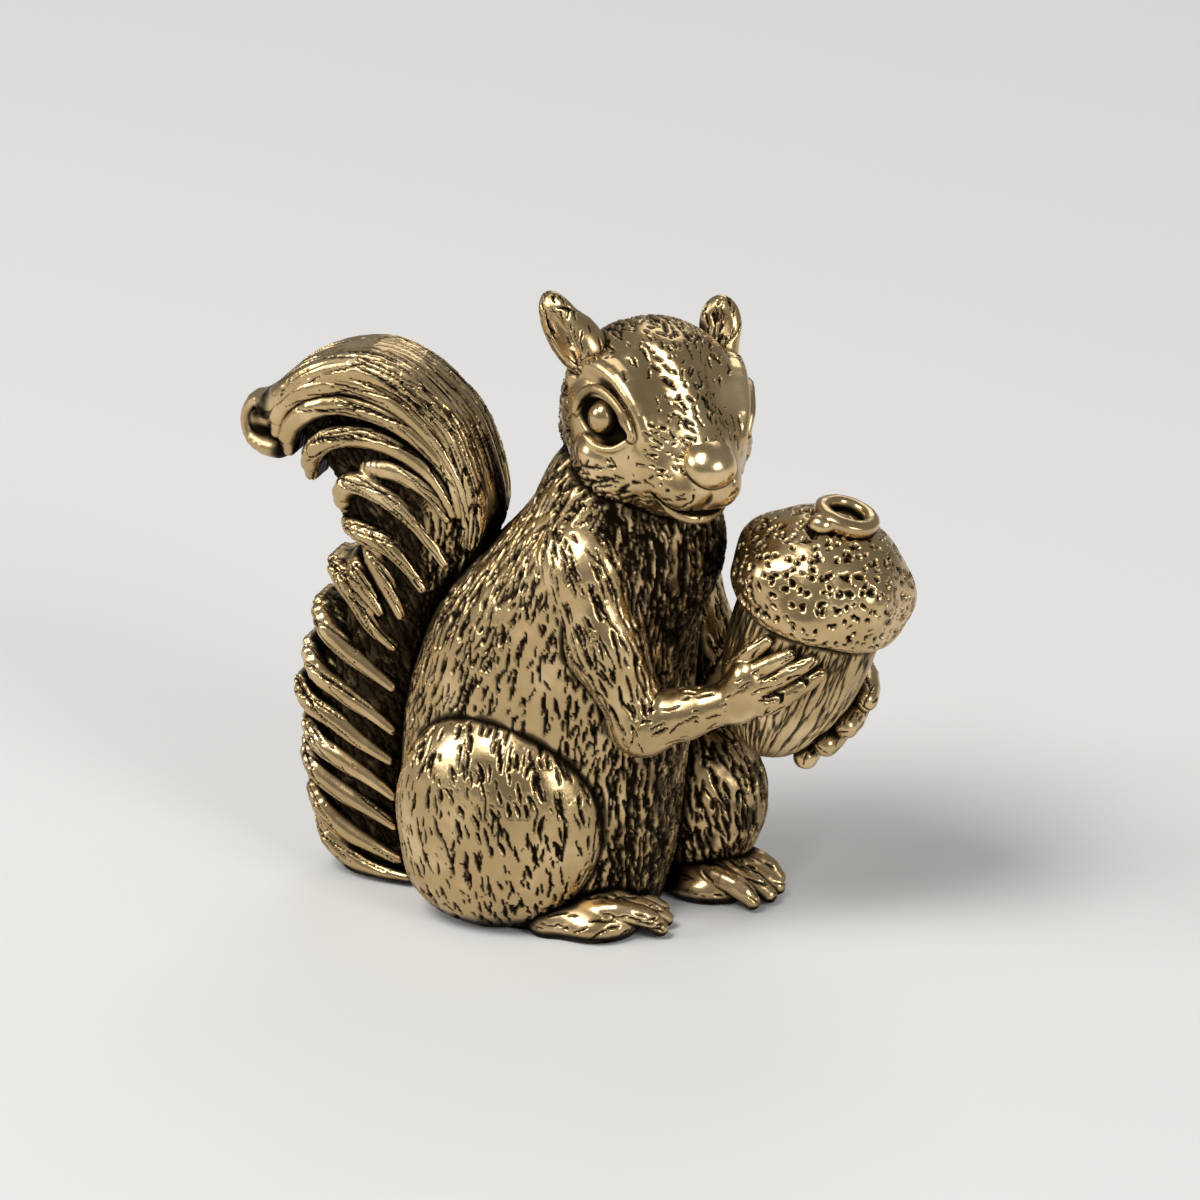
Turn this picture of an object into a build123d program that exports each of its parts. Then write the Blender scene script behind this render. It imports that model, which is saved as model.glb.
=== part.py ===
from build123d import *
import math
import os

# A small cast brass squirrel that sits up and holds an acorn, in millimetres. It faces +X, its
# left side is +Y, and it sits on the plane Z = 0 with the origin under the middle of its body.
# Each form is laid on the one that carries it and is cut back to its surface, so they meet
# face to face along the seams of the figurine.

# Body: an upright pear shape with long tufts of fur down it, flat underneath
torso_height = 28.0
torso_depth = 17.8
torso_width = 13.4
tuft_count = 18
tuft_depth = 0.4
# height, middle forward of the origin as a share of the depth, depth and width
torso_shares = [
    (0.00, -0.14, 0.80, 0.88),
    (0.14, -0.15, 0.94, 0.97),
    (0.32, -0.14, 0.98, 1.00),
    (0.50, -0.10, 0.97, 0.98),
    (0.66, -0.04, 0.89, 0.94),
    (0.79, 0.05, 0.75, 0.87),
    (0.89, 0.12, 0.62, 0.77),
    (1.00, 0.17, 0.50, 0.66),
]

# Head: an egg along the line from the nape to the nose, turned to the squirrel's right
head_length = 14.2
head_width = 11.2
head_height = 11.6
head_turn = -45.0
head_nod = 10.0
head_tilt = -7.0
# middle of the head from the top of the neck: forward, and up as a share of the head's height
head_seat_shares = (0.10, 0.28)
# place along the head, rise, width and height, each as a share of the head's own size
head_shares = [
    (-0.42, 0.03, 0.26, 0.26),
    (-0.32, 0.02, 0.68, 0.70),
    (-0.16, 0.01, 0.93, 0.92),
    (0.02, 0.00, 1.00, 0.98),
    (0.22, -0.04, 0.87, 0.84),
    (0.34, -0.06, 0.67, 0.66),
    (0.45, -0.06, 0.49, 0.48),
    (0.55, -0.04, 0.26, 0.28),
]
# forms laid on both sides of the face, each placed by shares of the head's length, width and height
brow_diameter = 1.1
brow_shares = [
    (-0.12, 0.42, 0.13),
    (-0.02, 0.385, 0.29),
    (0.10, 0.35, 0.305),
    (0.22, 0.32, 0.24),
    (0.30, 0.29, 0.13),
]
cheek_length = 6.2
cheek_width = 4.0
cheek_height = 4.8
cheek_place_shares = (0.11, 0.29, -0.17)
muzzle_length = 3.4
muzzle_width = 2.6
muzzle_height = 2.5
muzzle_place_shares = (0.42, 0.11, -0.11)
nose_width = 3.0
nose_height = 2.0
nose_depth = 2.2
nose_place_shares = (0.53, 0.0, 0.01)
eye_diameter = 2.2
eye_place_shares = (0.14, 0.43, 0.11)
eye_socket_diameter = 3.6
eye_socket_depth = 0.9

# Ears: hollow leaf shapes, open to the sides
ear_height = 5.2
ear_width = 3.5
ear_depth = 2.4
ear_wall = 0.6
right_ear_splay = 36.0
left_ear_splay = 10.0
ear_lean = 16.0
right_ear_place_shares = (-0.10, 0.36, 0.38)
left_ear_place_shares = (-0.08, 0.36, 0.28)

# Arms: upper arm back to the elbow, forearm on to the paw
shoulder_height_share = 0.82
shoulder_forward_share = 0.18
shoulder_side_share = 0.86
upper_arm_length = 10.3
upper_arm_diameter = 4.6
elbow_diameter = 3.5
# the forearm's own end lies inside the elbow: its width there as a share of the elbow's
forearm_root_share = 0.92
wrist_diameter = 2.5
right_arm_drop = 68.0
right_arm_spread = 9.0
left_arm_spread = 12.0
left_arm_drop = 64.0

# Acorn: nut, cap and stalk on one leaning axis
nut_length = 12.3
nut_diameter = 8.7
cap_diameter = 10.9
cap_height = 6.9
cap_overlap = 1.5
cap_lip = 0.9
stalk_diameter = 3.6
stalk_bore = 1.9
stalk_length = 0.6
stalk_bore_depth = 1.4
acorn_lean = 18.0
# how far the nut's tip lies in front of the body, and its height in the body's heights
acorn_gap = 4.6
acorn_height_share = 0.385
# distance from the tip and width of the nut, as shares of its length and diameter
nut_shares = [(0.0, 0.12), (0.12, 0.52), (0.42, 0.91), (0.70, 1.0), (0.86, 0.98)]
# height over the lip and width of the cap, as shares of its height and diameter
cap_shares = [(0.0, 0.94), (0.25, 1.0), (0.66, 0.78), (0.92, 0.36)]

# Paws: a palm on the nut and four fingers that follow its surface
palm_length = 4.2
palm_width = 3.4
palm_thickness = 2.2
finger_diameter = 1.45
finger_sink_share = 0.15
grip_clearance = 0.05
# angle round the nut from its front, and distance along the nut in shares of its length
right_palm_at = (-106.0, 0.44)
right_finger_shares = [
    ((-114.0, 0.56), (-110.0, 0.70)),
    ((-102.0, 0.58), (-90.0, 0.74)),
    ((-92.0, 0.56), (-74.0, 0.73)),
    ((-86.0, 0.50), (-60.0, 0.66)),
]
left_palm_at = (98.0, 0.28)
left_finger_shares = [
    ((62.0, 0.46), (22.0, 0.44)),
    ((58.0, 0.34), (16.0, 0.32)),
    ((60.0, 0.23), (18.0, 0.21)),
    ((74.0, 0.14), (28.0, 0.11)),
]

# Haunches: rounded lenses on the sides of the body. Length and middle in the body's depths,
# thickness in its widths and height in its heights
right_thigh_shares = (0.725, -0.19, 0.60, 0.49)
left_thigh_shares = (0.82, 0.135, 0.60, 0.42)
thigh_side_share = 0.75

# Feet: a sole that widens to four toes. Length in the body's depths, width in its widths, height
# in its heights, and the toes in the foot's own sizes
foot_length_share = 0.575
foot_width_share = 0.37
foot_height_share = 0.12
toe_length_share = 0.33
toe_height_share = 0.60
toe_count = 4
right_foot_turn = 33.0
left_foot_turn = -4.0
# heel from the middle of the underside, in half depths and half widths of the body
right_heel_shares = (-0.04, -1.00)
left_heel_shares = (0.42, 0.58)
# place along the foot, width and height
foot_shares = [
    (0.00, 0.50, 0.70),
    (0.12, 0.78, 0.95),
    (0.36, 0.90, 1.00),
    (0.62, 1.00, 0.80),
    (0.80, 1.00, 0.60),
    (0.90, 0.86, 0.46),
]

# Tail stem: rises along the back, all on level sections
stem_height = 24.0
stem_depth = 7.0
tail_thickness = 5.4
# height on the body at which its back carries the stem
stem_carrier_share = 0.40
# height, middle behind the body's back as a share of the stem's depth, depth and thickness
stem_shares = [
    (0.00, -0.23, 0.58, 0.80),
    (0.15, -0.36, 0.68, 0.90),
    (0.40, -0.38, 0.74, 1.00),
    (0.62, -0.30, 0.76, 1.00),
    (0.80, -0.12, 0.84, 1.00),
    (1.00, 0.19, 1.14, 0.98),
]

# Locks that leave the stem's outer edge, up and backwards
lock_count = 8
lock_length = 8.8
lock_width = 3.0
lock_rise = 128.0
lock_turn = 14.0
lock_first_share = 0.10
lock_last_share = 0.86
lock_proud = 2.1

# Curl: nested locks that run round one centre, back over the top of the stem
curl_radius = 9.6
curl_count = 5
curl_start = 2.0
curl_end = 150.0
curl_draw_share = 0.45
# angle from start to end, distance from the centre, width and thickness of a nested lock
curl_shares = [
    (0.00, 1.00, 0.92, 0.86),
    (0.17, 1.00, 1.00, 1.00),
    (0.34, 0.99, 1.00, 1.00),
    (0.51, 0.97, 0.98, 0.98),
    (0.68, 0.92, 0.94, 0.94),
    (0.84, 0.85, 0.84, 0.84),
    (0.95, 0.80, 0.66, 0.64),
    (1.00, 0.78, 0.34, 0.34),
]

# Rounded end of a limb: how far it stands out in radii, and how wide it still is there
end_shares = [(0.95, 0.35), (0.60, 0.80)]
# Flat faces round the forms that are made of corners
head_sides = 18
stem_sides = 16
limb_sides = 12
finger_sides = 8
bed_sides = 24
bed_rings = 10
pod_sides = 12
pod_rings = 6


def between(rows, at, column):
    """The value of a column of a share table at a place between its rows."""
    for low, high in zip(rows, rows[1:]):
        if at <= high[0]:
            step = (at - low[0]) / (high[0] - low[0])
            return low[column] + step * (high[column] - low[column])
    return rows[-1][column]


def torso_at(height, forward, side):
    """A point in the torso's section at a height: 1 forward is its front, 1 sideways its left flank."""
    x = torso_depth * (between(torso_shares, height, 1) + forward * between(torso_shares, height, 2) / 2)
    y = torso_width * side * between(torso_shares, height, 3) / 2
    return Vector(x, y, torso_height * height)


def pod(length, width, height):
    """A rounded form with three different axes, centred on the origin."""
    return scale(Sphere(1), by=(length / 2, width / 2, height / 2))


def ring(middle, across, up, width, height, sides, dip=0.0):
    """The corners of a many-sided oval round a point; every second one may lie this much deeper."""
    corners = []
    for i in range(sides):
        turn = 2 * math.pi * (i + 1 / 2) / sides
        in_by = dip * (i % 2)
        out = across * ((width / 2 - in_by) * math.cos(turn)) + up * ((height / 2 - in_by) * math.sin(turn))
        corners.append(middle + out)
    return corners


def faceted(rings):
    """A closed solid of flat faces through rings of corners, for the small forms that repeat."""
    faces = [Face(Wire.make_polygon(rings[0])), Face(Wire.make_polygon(rings[-1]))]
    for low, high in zip(rings, rings[1:]):
        for i in range(len(low)):
            j = (i + 1) % len(low)
            faces.append(Face(Wire.make_polygon([low[i], low[j], high[j]])))
            faces.append(Face(Wire.make_polygon([low[i], high[j], high[i]])))
    return Solid(Shell(faces))


def limb(points, diameters, sides=limb_sides):
    """A tapered round form through a few points, rounded off at both ends."""
    first = (points[1] - points[0]).normalized()
    last = (points[-1] - points[-2]).normalized()
    stations = []
    for out, wide in end_shares:
        stations.append((points[0] - first * (diameters[0] / 2 * out), first, diameters[0] * wide))
    for i, (point, diameter) in enumerate(zip(points, diameters)):
        before = points[i] - points[i - 1] if i else first
        after = points[i + 1] - points[i] if i + 1 < len(points) else last
        stations.append((point, (before.normalized() + after.normalized()).normalized(), diameter))
    for out, wide in reversed(end_shares):
        stations.append((points[-1] + last * (diameters[-1] / 2 * out), last, diameters[-1] * wide))
    side = first.cross(Vector(0, 0, 1)).normalized()
    rings = []
    for point, along, diameter in stations:
        across = (side - along * side.dot(along)).normalized()
        rings.append(ring(point, across, along.cross(across), diameter, diameter, sides))
    return faceted(rings)


def small_pod(length, width, height, sides=pod_sides):
    """A rounded form of flat faces, with its long axis along X."""
    rings = []
    for i in range(pod_rings):
        turn = math.pi * (i + 1 / 2) / pod_rings
        wide = math.sin(turn)
        middle = Vector(-length / 2 * math.cos(turn) / math.cos(math.pi / 2 / pod_rings), 0, 0)
        rings.append(ring(middle, Vector(0, 1, 0), Vector(0, 0, 1), width * wide, height * wide, sides))
    return faceted(rings)


def seated(piece, *carriers):
    """The piece cut back to the surfaces of what carries it, without the offcuts on their far side."""
    for carrier in carriers:
        piece = piece - carrier
    return max(piece.solids(), key=lambda solid: solid.volume)


def above_ground(piece):
    """The piece cut off flat at the plane that the figurine sits on."""
    size = 2 * (torso_height + torso_depth)
    return piece - Pos(0, 0, -size / 2) * Box(size, size, size)


def make_torso():
    """The body, with tufts that run from the neck to the ground."""
    forward, side = Vector(1, 0, 0), Vector(0, 1, 0)
    rings = []
    for height, middle, depth, width in torso_shares:
        centre = Vector(torso_depth * middle, 0, torso_height * height)
        sizes = (torso_depth * depth, torso_width * width)
        rings.append(ring(centre, forward, side, *sizes, 2 * tuft_count, tuft_depth))
    return faceted(rings)


def head_place():
    top = torso_at(1.0, 0, 0)
    middle = top + Vector(head_length * head_seat_shares[0], 0, head_height * head_seat_shares[1])
    return Pos(*middle) * Rot(0, 0, head_turn) * Rot(0, head_nod, 0) * Rot(head_tilt, 0, 0)


def in_head(shares, side=1):
    """A place in the head, given as shares of its length, width and height."""
    return Pos(head_length * shares[0], side * head_width * shares[1], head_height * shares[2])


def make_head():
    """The skull with its eye sockets, brows, cheeks and the two halves of the muzzle."""
    rings = []
    for along, rise, width, height in head_shares:
        middle = Vector(head_length * along, 0, head_height * rise)
        sizes = (head_width * width, head_height * height)
        rings.append(ring(middle, Vector(0, 1, 0), Vector(0, 0, 1), *sizes, head_sides))
    head = faceted(rings)
    cheek = small_pod(cheek_length, cheek_width, cheek_height)
    muzzle = small_pod(muzzle_length, muzzle_width, muzzle_height)
    for side in (1, -1):
        head = head + in_head(cheek_place_shares, side) * cheek
        head = head + in_head(muzzle_place_shares, side) * muzzle
        out = Pos(0, side * (eye_socket_diameter / 2 - eye_socket_depth), 0)
        socket = small_pod(eye_socket_diameter, eye_socket_diameter, eye_socket_diameter)
        head = head - in_head(eye_place_shares, side) * out * socket
        line = [in_head(place, side).position for place in brow_shares]
        head = head + limb(line, [brow_diameter] * len(line), finger_sides)
    return head_place() * head


def make_eye(side):
    inset = Pos(0, -side * eye_socket_depth, 0)
    ball = small_pod(eye_diameter, eye_diameter, eye_diameter)
    return head_place() * in_head(eye_place_shares, side) * inset * ball


def make_nose():
    return head_place() * in_head(nose_place_shares) * small_pod(nose_depth, nose_width, nose_height)


def make_ear(side, splay, place_shares):
    upright = Rot(0, -90, 0)
    leaf = upright * small_pod(ear_height, ear_depth, ear_width)
    hollow = upright * small_pod(ear_height - 2 * ear_wall, ear_depth, ear_width - 2 * ear_wall)
    leaf = leaf - Pos(0, side * (ear_depth / 2 - ear_wall / 2), 0) * hollow
    stand = Rot(-side * splay, -ear_lean, 0) * Pos(0, 0, ear_height / 2)
    drop = Pos(0, 0, -ear_height / 4)
    return head_place() * in_head(place_shares, side) * drop * stand * leaf


def acorn_place():
    tip = torso_at(acorn_height_share, 1, 0) + Vector(acorn_gap, 0, 0)
    return Pos(*tip) * Rot(0, acorn_lean, 0)


def nut_side():
    """The nut's outline in its own plane, from its tip to its shoulder under the cap."""
    return Spline(*[(nut_diameter / 2 * wide, nut_length * along) for along, wide in nut_shares])


def nut_rows():
    """Points of the nut's outline: distance along the nut in its lengths, and radius."""
    side = nut_side()
    points = [side @ (i / bed_rings) for i in range(bed_rings + 1)]
    return [(point.Y / nut_length, point.X) for point in points]


def nut_radius(share):
    return between(nut_rows(), share, 1)


def make_nut():
    side = nut_side()
    edge = side + Polyline(side @ 1, (0, (side @ 1).Y), (0, 0), side @ 0)
    return acorn_place() * revolve(Plane.XZ * make_face(edge), Axis.Z)


def make_cap():
    lip = nut_length - cap_overlap - cap_lip
    points = [(cap_diameter / 2 * wide, lip + cap_height * up) for up, wide in cap_shares]
    edge = Spline(*points) + Polyline(points[-1], (0, points[-1][1]), (0, lip), points[0])
    return acorn_place() * revolve(Plane.XZ * make_face(edge), Axis.Z)


def make_stalk():
    top = nut_length - cap_overlap - cap_lip + cap_height + stalk_length
    long = stalk_length + cap_height * (1 - cap_shares[-1][0]) + cap_lip
    tube = Pos(0, 0, top - long / 2) * Cylinder(stalk_diameter / 2, long)
    bore = Pos(0, 0, top - stalk_bore_depth / 2) * Cylinder(stalk_bore / 2, stalk_bore_depth)
    return acorn_place() * (tube - bore)


def on_nut(angle, share, thickness):
    """A point over the nut's surface, for the middle of something as thick as this that lies on it."""
    reach = nut_radius(share) + thickness * (1 / 2 - finger_sink_share)
    turn = math.radians(angle)
    local = Pos(reach * math.cos(turn), reach * math.sin(turn), nut_length * share)
    return (acorn_place() * local).position


def make_grip_bed():
    """The nut's own form with flat faces, a clearance larger: the space that the paws keep free."""
    rings = []
    for along, radius in nut_rows():
        middle, size = Vector(0, 0, nut_length * along), 2 * (radius + grip_clearance)
        rings.append(ring(middle, Vector(1, 0, 0), Vector(0, 1, 0), size, size, bed_sides))
    return acorn_place() * faceted(rings)


def make_paw(palm_at, finger_shares):
    middle = on_nut(*palm_at, palm_thickness)
    turned = Pos(*middle) * Rot(0, acorn_lean, 0) * Rot(0, 0, palm_at[0])
    palm = turned * small_pod(palm_thickness, palm_width, palm_length)
    for bend, tip in finger_shares:
        points = [middle, on_nut(*bend, finger_diameter), on_nut(*tip, finger_diameter)]
        palm = palm + limb(points, [finger_diameter] * 3, finger_sides)
    return palm


def shoulder(side):
    return torso_at(shoulder_height_share, shoulder_forward_share, side * shoulder_side_share)


def elbow(side, drop, spread):
    fall, out = math.radians(drop), math.radians(spread)
    level, down = upper_arm_length * math.cos(fall), upper_arm_length * math.sin(fall)
    return shoulder(side) + Vector(level * math.cos(out), side * level * math.sin(out), -down)


def make_upper_arm(side, drop, spread):
    top, bottom = shoulder(side), elbow(side, drop, spread)
    return limb([top, (top + bottom) / 2, bottom], [upper_arm_diameter, upper_arm_diameter, elbow_diameter])


def make_forearm(side, drop, spread, palm_at):
    bottom, palm = elbow(side, drop, spread), on_nut(*palm_at, palm_thickness)
    diameters = [elbow_diameter * forearm_root_share, elbow_diameter, wrist_diameter]
    return limb([bottom, (bottom + palm) / 2, palm], diameters)


def make_thigh(side, length, forward, thickness, height):
    out = torso_width / 2 * thigh_side_share
    lens = pod(torso_depth * length, torso_width * thickness, torso_height * height)
    return above_ground(Pos(torso_depth * forward, side * out, torso_height * height / 2) * lens)


def make_foot(heel_shares, turn):
    foot_length, foot_width = torso_depth * foot_length_share, torso_width * foot_width_share
    foot_height = torso_height * foot_height_share
    toe_length, toe_height = foot_length * toe_length_share, foot_height * toe_height_share
    rings = []
    for along, width, height in foot_shares:
        middle = Vector(foot_length * along, 0, 0)
        sizes = (foot_width * width, 2 * foot_height * height)
        rings.append(ring(middle, Vector(0, 1, 0), Vector(0, 0, 1), *sizes, limb_sides))
    foot = faceted(rings)
    toe_width = foot_width / (toe_count - 1)
    for i in range(toe_count):
        side = (i - (toe_count - 1) / 2) * foot_width / toe_count
        place = Pos(foot_length - toe_length / 2, side, toe_height / 4)
        foot = foot + place * small_pod(toe_length, toe_width, 2 * toe_height, finger_sides)
    heel = torso_at(0, 0, 0) + Vector(torso_depth / 2 * heel_shares[0], torso_width / 2 * heel_shares[1], 0)
    return above_ground(Pos(*heel) * Rot(0, 0, turn) * foot)


def stem_point(share, outward):
    """A point in the tail's middle plane: outward goes from the stem's inner edge, 0, to its outer, 1."""
    middle = torso_at(stem_carrier_share, -1, 0).X + stem_depth * between(stem_shares, share, 1)
    reach = stem_depth * between(stem_shares, share, 2) * (1 / 2 - outward)
    return Vector(middle + reach, 0, stem_height * share)


def make_stem():
    forward, side = Vector(1, 0, 0), Vector(0, 1, 0)
    rings = []
    for height, _, depth, thickness in stem_shares:
        sizes = (stem_depth * depth, tail_thickness * thickness)
        rings.append(ring(stem_point(height, 1 / 2), forward, side, *sizes, stem_sides))
    return faceted(rings)


def make_lock(i):
    """One lock of the stem's outer edge: its tip stands proud of the edge, and it points up and back."""
    share = i / (lock_count - 1)
    height = lock_first_share + share * (lock_last_share - lock_first_share)
    tip = stem_point(height, 1) - Vector(lock_proud, 0, 0)
    rise = lock_rise + lock_turn * (1 - share)
    inward = Pos(*tip) * Rot(0, -rise, 0) * Pos(-lock_length / 2, 0, 0)
    return above_ground(inward * small_pod(lock_length, tail_thickness, lock_width))


def make_curl(i):
    """One of the nested locks of the curl, the outermost first; the inner ones draw in more."""
    centre = stem_point(1.0, 0) - Vector(curl_radius, 0, 0)
    width = curl_radius / curl_count
    reach = width * (curl_count - i - 1 / 2)
    rings = []
    for share, distance, wide, thick in curl_shares:
        turn = math.radians(curl_start + share * (curl_end - curl_start))
        out = Vector(math.cos(turn), 0, math.sin(turn))
        middle = centre + out * (reach * (1 - (1 - distance) * (1 + i * curl_draw_share)))
        sizes = (width * wide, tail_thickness * thick)
        rings.append(ring(middle, out, Vector(0, 1, 0), *sizes, limb_sides))
    return faceted(rings)


def build():
    """Every piece by its node's name, each cut back to the pieces that carry it."""
    parts = {"torso": make_torso()}
    torso = parts["torso"]
    head = seated(make_head(), torso)
    parts["head"] = head
    parts["nose"] = seated(make_nose(), head)
    nut, bed = seated(make_nut(), torso), make_grip_bed()
    cap = seated(make_cap(), nut, head)
    parts["acorn_nut"], parts["acorn_cap"] = nut, cap
    parts["acorn_stalk"] = seated(make_stalk(), cap, nut)
    for name, side, splay, place_shares in (
        ("right", -1, right_ear_splay, right_ear_place_shares),
        ("left", 1, left_ear_splay, left_ear_place_shares),
    ):
        parts[name + "_ear"] = seated(make_ear(side, splay, place_shares), head)
        parts[name + "_eye"] = seated(make_eye(side), head)
    for name, side, shares in (("right", -1, right_thigh_shares), ("left", 1, left_thigh_shares)):
        parts[name + "_thigh"] = seated(make_thigh(side, *shares), torso)
    for name, heel_shares, turn in (
        ("right", right_heel_shares, right_foot_turn),
        ("left", left_heel_shares, left_foot_turn),
    ):
        parts[name + "_foot"] = seated(make_foot(heel_shares, turn), parts[name + "_thigh"], torso)
    for name, side, drop, spread, palm_at, fingers in (
        ("right", -1, right_arm_drop, right_arm_spread, right_palm_at, right_finger_shares),
        ("left", 1, left_arm_drop, left_arm_spread, left_palm_at, left_finger_shares),
    ):
        upper = seated(make_upper_arm(side, drop, spread), torso, head)
        paw = seated(make_paw(palm_at, fingers), bed, cap)
        forearm = make_forearm(side, drop, spread, palm_at)
        parts[name + "_upper_arm"], parts[name + "_paw"] = upper, paw
        parts[name + "_forearm"] = seated(forearm, upper, paw, nut, torso, parts[name + "_thigh"])
    stem = seated(make_stem(), torso, parts["right_thigh"], parts["left_thigh"])
    parts["tail_stem"] = stem
    below = None
    for i in range(curl_count):
        curl = seated(make_curl(i), stem, torso, head, *([below] if below else []))
        parts[f"tail_curl_{i + 1}"] = below = curl
    for i in reversed(range(lock_count)):
        lock = seated(make_lock(i), stem, torso, below)
        parts[f"tail_lock_{i + 1}"] = below = lock
    return parts


if __name__ == "__main__":
    os.makedirs("parts", exist_ok=True)
    for name, piece in build().items():
        export_step(piece, f"parts/{name}.step")
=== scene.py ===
import math
from itertools import product

import bpy
import numpy as np
from bpy.props import FloatProperty, FloatVectorProperty, IntProperty, PointerProperty
from mathutils import Matrix, Vector


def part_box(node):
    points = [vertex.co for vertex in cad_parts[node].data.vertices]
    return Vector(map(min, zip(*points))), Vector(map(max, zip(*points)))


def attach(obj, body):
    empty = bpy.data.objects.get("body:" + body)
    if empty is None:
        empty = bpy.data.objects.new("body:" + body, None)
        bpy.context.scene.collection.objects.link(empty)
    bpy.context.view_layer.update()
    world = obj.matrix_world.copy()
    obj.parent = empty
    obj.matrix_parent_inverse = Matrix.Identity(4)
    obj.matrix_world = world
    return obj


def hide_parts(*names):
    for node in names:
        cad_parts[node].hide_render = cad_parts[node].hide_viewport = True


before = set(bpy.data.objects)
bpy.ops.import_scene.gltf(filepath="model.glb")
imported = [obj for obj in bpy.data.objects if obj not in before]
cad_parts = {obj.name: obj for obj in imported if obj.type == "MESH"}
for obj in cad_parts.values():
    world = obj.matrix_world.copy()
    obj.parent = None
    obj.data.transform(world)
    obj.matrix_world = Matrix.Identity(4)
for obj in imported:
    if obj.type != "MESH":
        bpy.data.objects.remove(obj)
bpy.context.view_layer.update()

bl_info = {
    "name": "Brass squirrel with an acorn",
    "version": (1, 0, 0),
    "blender": (4, 5, 0),
    "location": "3D View > Sidebar > Squirrel",
    "description": "Sculpts a small antiqued brass squirrel over its CAD solids",
    "category": "Object",
}

MM = 0.001


# Turns and places, in millimetres


def about(axis, degrees):
    """A turn about X, Y or Z, which are 0, 1 and 2."""
    c, s = math.cos(math.radians(degrees)), math.sin(math.radians(degrees))
    i, j = (axis + 1) % 3, (axis + 2) % 3
    turn = np.eye(3)
    turn[i, i] = turn[j, j] = c
    turn[i, j], turn[j, i] = -s, s
    return turn


def unit(way):
    return way / np.linalg.norm(way)


class Place:
    """A part's own axes: where its origin lies in the figurine and how it is turned."""

    def __init__(self, origin, turn):
        self.origin = np.array(origin, float)
        self.turn = turn

    def inward(self, points):
        return (points - self.origin) @ self.turn

    def outward(self, points):
        return np.asarray(points, float) @ self.turn.T + self.origin


HEAD = Place((4.45, 0.0, 31.25), about(2, -45) @ about(1, 10) @ about(0, -7))
ACORN = Place((11.05, 0.0, 10.78), about(1, 18))


# Forms as fields: below zero inside, above zero outside, roughly in millimetres


def join(a, b, soft):
    """Two forms run together with a fillet this soft."""
    mix = np.clip(0.5 + 0.5 * (b - a) / soft, 0, 1)
    return b + (a - b) * mix - soft * mix * (1 - mix)


def cut(a, b, soft):
    """The first form without the second, with a rounded edge."""
    return -join(-a, b, soft)


def egg(points, middle, sizes, turn=None):
    """A rounded form with three half sizes."""
    q = points - np.asarray(middle, float)
    if turn is not None:
        q = q @ turn
    sizes = np.asarray(sizes, float)
    near = np.sqrt(((q / sizes) ** 2).sum(-1))
    slope = np.sqrt(((q / sizes**2) ** 2).sum(-1))
    return near * (near - 1) / np.maximum(slope, 1e-6)


def eggs(points, rows, whole=None):
    """Rounded forms joined one after the other: middle, half sizes and how softly each joins."""
    for middle, sizes, soft in rows:
        form = egg(points, middle, sizes)
        whole = form if whole is None else join(whole, form, soft)
    return whole


def rod(points, start, end, first, last):
    """A tapered round bar with rounded ends."""
    start, end = np.asarray(start, float), np.asarray(end, float)
    along = end - start
    share = np.clip(((points - start) @ along) / max(along @ along, 1e-9), 0, 1)
    gap = points - start - share[..., None] * along
    return np.sqrt((gap**2).sum(-1)) - (first + (last - first) * share)


def chain(points, line, radii):
    """Tapered bars end to end through the points of a line."""
    out = None
    for i in range(len(line) - 1):
        bar = rod(points, line[i], line[i + 1], radii[i], radii[i + 1])
        out = bar if out is None else np.minimum(out, bar)
    return out


def nearest_run(points, line):
    """The direction of the run of a line that each point is nearest to."""
    best = np.full(len(points), 1e9)
    way = np.zeros((len(points), 3))
    for start, end in zip(line[:-1], line[1:]):
        along = np.asarray(end, float) - np.asarray(start, float)
        share = np.clip(((points - start) @ along) / max(along @ along, 1e-9), 0, 1)
        gap = ((points - start - share[:, None] * along) ** 2).sum(-1)
        closer = gap < best
        best[closer] = gap[closer]
        way[closer] = unit(along)
    return way


def blend_rows(rows, steps, count):
    """The rows with smooth ones between them, at even steps."""
    slopes = np.gradient(rows, steps, axis=0)
    at = np.linspace(steps[0], steps[-1], count)
    i = np.clip(np.searchsorted(steps, at, "right") - 1, 0, len(rows) - 2)
    span = (steps[i + 1] - steps[i])[:, None]
    t = (at - steps[i])[:, None] / span
    start = (2 * t**3 - 3 * t**2 + 1) * rows[i] + (t**3 - 2 * t**2 + t) * span * slopes[i]
    return start + (3 * t**2 - 2 * t**3) * rows[i + 1] + (t**3 - t**2) * span * slopes[i + 1]


def smooth_line(line, count):
    """A line through the given points with more points on it, without corners."""
    line = np.asarray(line, float)
    steps = np.r_[0, np.cumsum(np.linalg.norm(np.diff(line, axis=0), axis=1))]
    return blend_rows(line, steps, count)


def smooth_rows(rows, count=160):
    """A table with smooth rows between the given ones."""
    rows = np.asarray(rows, float)
    return blend_rows(rows, rows[:, 0], count)


def ramp(value, start, end):
    """From 0 at the start to 1 at the end, and level beyond."""
    return np.clip((value - start) / (end - start), 0, 1)


def around(middle, half):
    """The corners of a box round its middle."""
    return middle - half, middle + half


def boxed(field, low, high, room=1.2):
    """The field near its box; further away the distance to the box stands for it."""
    low, high = np.asarray(low, float) - room, np.asarray(high, float) + room

    def near_field(p):
        gap = np.maximum(np.maximum(low - p, p - high), 0)
        out = np.sqrt((gap**2).sum(-1)) + room
        near = out <= room
        out[near] = field(p[near])
        return out

    return near_field


# Noise without textures: values on a fixed lattice


LATTICE_SIDE = 32
LATTICE = np.random.default_rng(11).random((LATTICE_SIDE,) * 3) * 2 - 1


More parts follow.
